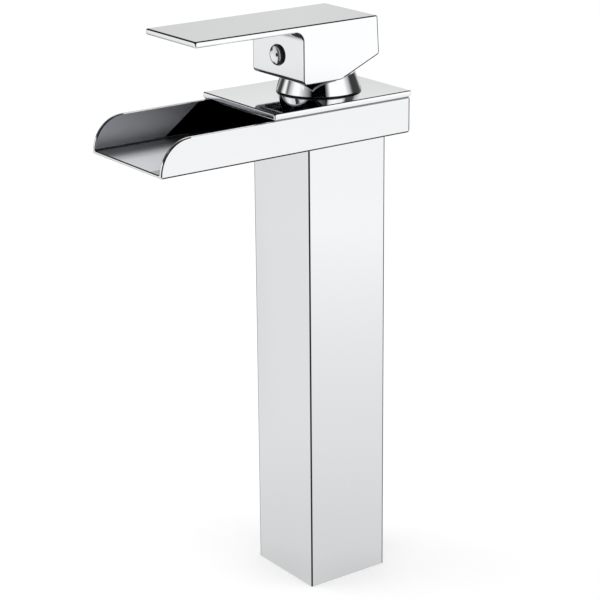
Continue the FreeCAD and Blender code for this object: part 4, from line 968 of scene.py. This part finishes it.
class FAUCET_OT_stage(bpy.types.Operator):
    """Pale floor, plain soft light and the camera"""

    bl_idname = "faucet.stage"
    bl_label = "Stage"
    bl_options = {"REGISTER", "UNDO"}

    def execute(self, context):
        studio = context.scene.faucet_studio
        self.floor(studio)
        self.surroundings(studio)
        self.lamps()
        self.camera(context.scene, studio)
        context.scene.view_settings.view_transform = "Standard"
        return {"FINISHED"}

    @staticmethod
    def compass(tree, vector, studio):
        """A function that gives a grey for each bearing of the vector, from pairs of degrees and grey.

        0 is towards the camera's side, positive is counter-clockwise from above, and 180 is straight away.
        """
        turned = add_node(tree, "ShaderNodeVectorRotate", {"Vector": vector, "Angle": -studio.flag_turn},
                          rotation_type="Z_AXIS")
        parts = add_node(tree, "ShaderNodeSeparateXYZ", {"Vector": turned.outputs[0]}).outputs
        turn = add_node(tree, "ShaderNodeMath", {0: parts["Y"], 1: parts["X"]}, operation="ARCTAN2")
        bearing = add_node(tree, "ShaderNodeMapRange", {
            "Value": turn.outputs[0], "From Min": -math.pi, "From Max": math.pi}).outputs["Result"]
        return lambda greys: grade(add_node(tree, "ShaderNodeValToRGB", {"Fac": bearing}),
                                   [(degrees / 360 + 0.5, grey) for degrees, grey in greys])

    def floor(self, studio):
        """A pale floor that takes the shadow; metal shows it shaded by bearing and distance instead."""
        half = studio.floor_half
        shape = bmesh.new()
        shape.faces.new([shape.verts.new((*point, 0.0)) for point in rectangle(-half, half, -half, half)])
        floor = new_object("pale_floor", shape)
        if floor.data.polygons[0].normal.z < 0:
            floor.data.flip_normals()
        board = bpy.data.materials.new("painted board")
        tree = bare_tree(board)
        place = add_node(tree, "ShaderNodeTexCoord").outputs["Object"]
        corner = add_node(tree, "ShaderNodeVectorMath", {0: place, 1: (COLUMN_HIGH.x, -COLUMN_HIGH.y, 0.0)},
                          operation="SUBTRACT")
        around = self.compass(tree, corner.outputs[0], studio)
        away = add_node(tree, "ShaderNodeVectorMath", {0: place}, operation="LENGTH").outputs["Value"]
        # painted shade for metal to show: far out it is white at the sides and dark towards the flags' bearings, with
        # less of them near the foot
        far = around([(-180, 0.6), (-176, 0.12), (-154, 0.12), (-149, 0.5), (-141, 0.5), (-137, 0.12), (-122, 0.12),
                      (-112, 0.80), (-60, 1.0), (-22, 0.95), (-11, 0.80), (-2, 0.5), (24, 0.5), (34, 0.75),
                      (45, 1.0), (85, 1.0), (110, 0.8), (140, 0.6), (180, 0.6)])
        near = around([(-180, 0.95), (-20, 0.95), (-2, 0.6), (24, 0.6), (45, 0.95), (180, 0.95)])
        near_end, far_start = 0.15, 0.75
        blend = add_node(tree, "ShaderNodeMapRange", {"Value": away, "From Min": near_end, "From Max": far_start},
                         interpolation_type="SMOOTHSTEP")
        sides = add_node(tree, "ShaderNodeMix", {0: blend.outputs["Result"], 6: near, 7: far}, data_type="RGBA")
        # and it darkens in rings towards the foot, a painted shadow of the faucet; a ring's radius is a share of this
        # reach in metres
        shade_reach = 2.0
        outward = add_node(tree, "ShaderNodeMath", {0: away, 1: 1 / shade_reach}, operation="MULTIPLY").outputs[0]
        rings = grade(add_node(tree, "ShaderNodeValToRGB", {"Fac": outward}), [
            (0.01, 0.61), (0.0275, 0.69), (0.10, 0.77), (0.19, 0.82), (0.345, 0.92), (0.50, 0.905), (0.60, 0.90),
            (0.68, 1.0)])
        greys = add_node(tree, "ShaderNodeMix", {0: 1.0, 6: sides.outputs[2], 7: rings}, data_type="RGBA",
                         blend_type="MULTIPLY")
        mirrored = add_node(tree, "ShaderNodeEmission", {"Color": greys.outputs[2], "Strength": studio.mirror_light})
        paint_coat = add_node(tree, "ShaderNodeBsdfDiffuse", {"Color": (*studio.floor_colour, 1.0)})
        glow = add_node(tree, "ShaderNodeEmission", {"Color": WHITE, "Strength": studio.floor_glow})
        lit = add_node(tree, "ShaderNodeAddShader", {0: paint_coat.outputs[0], 1: glow.outputs[0]})
        rays = add_node(tree, "ShaderNodeLightPath").outputs
        mixed = add_node(tree, "ShaderNodeMixShader", {
            0: rays["Is Glossy Ray"], 1: lit.outputs[0], 2: mirrored.outputs[0]})
        add_node(tree, "ShaderNodeOutputMaterial", {"Surface": mixed.outputs[0]})
        floor.data.materials.append(board)

    def surroundings(self, studio):
        """A plain white room; metal shows it with dark flags on the camera's side and behind, and a light ceiling."""
        world = bpy.data.worlds.new("studio")
        bpy.context.scene.world = world
        tree = bare_tree(world)
        direction = add_node(tree, "ShaderNodeTexCoord").outputs["Generated"]
        rise = add_node(tree, "ShaderNodeSeparateXYZ", {"Vector": direction}).outputs["Z"]
        around = self.compass(tree, direction, studio)
        room = around([(-180, 0.67), (-150, 0.45), (-138, 0.05), (-124, 0.05), (-112, 0.9), (-60, 1.0),
                       (-35, 0.9), (-22, 0.45), (22, 0.45), (35, 0.9), (75, 1.0), (88, 0.9), (98, 0.1),
                       (112, 0.04), (140, 0.05), (155, 0.4), (180, 0.67)])
        # from one elevation in degrees to the next, the room changes to these greys
        steps = [
            (11.5, 14.5, [(-180, 0.85), (-150, 0.5), (-125, 0.08), (-98, 0.05), (-88, 0.5), (-75, 0.95),
                          (-60, 1.0), (-45, 0.55), (-21, 0.0), (19, 0.0), (27, 0.4), (33, 1.0), (80, 1.0),
                          (95, 0.5), (110, 0.4), (140, 0.55), (180, 0.85)]),
            (28, 34, [(-180, 0.4), (-165, 0.08), (-128, 0.04), (-112, 0.8), (-70, 1.0), (-40, 0.4),
                      (-28, 0.0), (28, 0.0), (36, 0.8), (50, 1.0), (82, 0.9), (94, 0.06), (165, 0.06),
                      (180, 0.4)]),
            (52, 59, [(-180, 0.9), (-28, 0.8), (28, 0.8), (180, 0.9)]),
        ]
        for low, high, greys in steps:
            change = add_node(tree, "ShaderNodeMapRange", {
                "Value": rise, "From Min": math.sin(math.radians(low)), "From Max": math.sin(math.radians(high))},
                interpolation_type="SMOOTHSTEP")
            room = add_node(tree, "ShaderNodeMix", {0: change.outputs["Result"], 6: room, 7: around(greys)},
                            data_type="RGBA").outputs[2]
        mirrored, soft, seen = [
            add_node(tree, "ShaderNodeBackground", {"Color": tint, "Strength": strength}).outputs[0]
            for tint, strength in ((room, studio.mirror_light), (WHITE, studio.light), (WHITE, 1.0))]
        rays = add_node(tree, "ShaderNodeLightPath").outputs
        first = add_node(tree, "ShaderNodeMixShader", {0: rays["Is Glossy Ray"], 1: soft, 2: mirrored})
        final = add_node(tree, "ShaderNodeMixShader", {0: rays["Is Camera Ray"], 1: first.outputs[0], 2: seen})
        add_node(tree, "ShaderNodeOutputWorld", {"Surface": final.outputs[0]})

    @staticmethod
    def lamps():
        """Two wide soft lamps that give the floor its shadow; metal shows the room instead."""
        aim = Vector((0.0, 0.0, 0.15))
        for name, place, width, power in (("left lamp", (-0.9, -1.1, 1.5), 1.2, 5.0),
                                          ("right lamp", (1.3, 0.6, 1.7), 1.4, 4.0)):
            light = bpy.data.lights.new(name, "AREA")
            light.shape = "SQUARE"
            light.size = width
            light.energy = power
            lamp = bpy.data.objects.new(name, light)
            lamp.location = place
            lamp.rotation_euler = (aim - Vector(place)).to_track_quat("-Z", "Y").to_euler()
            lamp.visible_glossy = False
            bpy.context.scene.collection.objects.link(lamp)

    @staticmethod
    def camera(scene, studio):
        """The camera, turned, pitched and rolled by the studio's angles."""
        data = bpy.data.cameras.new("camera")
        data.sensor_width = 36.0
        data.lens = studio.lens
        turn, pitch = studio.camera_turn, studio.camera_pitch
        ahead = Vector((-math.sin(turn) * math.cos(pitch), math.cos(turn) * math.cos(pitch), math.sin(pitch)))
        right = Vector((math.cos(turn), math.sin(turn), 0.0))
        up = right.cross(ahead)
        level = Matrix((right, up, -ahead)).transposed()
        camera = bpy.data.objects.new("camera", data)
        scene.collection.objects.link(camera)
        camera.matrix_world = (Matrix.Translation(studio.camera_side) @ level.to_4x4() @
                               Matrix.Rotation(studio.camera_roll, 4, "Z"))
        scene.camera = camera


class FAUCET_PT_panel(bpy.types.Panel):
    """The faucet's pieces in the sidebar"""

    bl_idname = "FAUCET_PT_panel"
    bl_label = "Waterfall basin faucet"
    bl_space_type = "VIEW_3D"
    bl_region_type = "UI"
    bl_category = "Faucet"

    def draw(self, context):
        for operator in OPERATORS:
            self.layout.operator(operator.bl_idname)
        for group in (context.scene.faucet_sizes, context.scene.faucet_colours, context.scene.faucet_studio):
            box = self.layout.box()
            for name in group.__annotations__:
                box.prop(group, name)


GROUPS = (FaucetSizes, FaucetColours, FaucetStudio)
OPERATORS = (FAUCET_OT_inner_pieces, FAUCET_OT_column, FAUCET_OT_channel, FAUCET_OT_cover_plate,
             FAUCET_OT_bonnet, FAUCET_OT_lever, FAUCET_OT_plug, FAUCET_OT_baffle, FAUCET_OT_threads,
             FAUCET_OT_stage)
CLASSES = GROUPS + OPERATORS + (FAUCET_PT_panel,)


def register():
    for cls in CLASSES:
        bpy.utils.register_class(cls)
    bpy.types.Scene.faucet_sizes = bpy.props.PointerProperty(type=FaucetSizes)
    bpy.types.Scene.faucet_colours = bpy.props.PointerProperty(type=FaucetColours)
    bpy.types.Scene.faucet_studio = bpy.props.PointerProperty(type=FaucetStudio)


def unregister():
    del bpy.types.Scene.faucet_studio
    del bpy.types.Scene.faucet_colours
    del bpy.types.Scene.faucet_sizes
    for cls in reversed(CLASSES):
        bpy.utils.unregister_class(cls)


def main():
    """Builds everything."""
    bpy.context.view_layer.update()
    register()
    for operator in OPERATORS:
        module, name = operator.bl_idname.split(".")
        getattr(getattr(bpy.ops, module), name)()


if __name__ == "__main__":
    main()
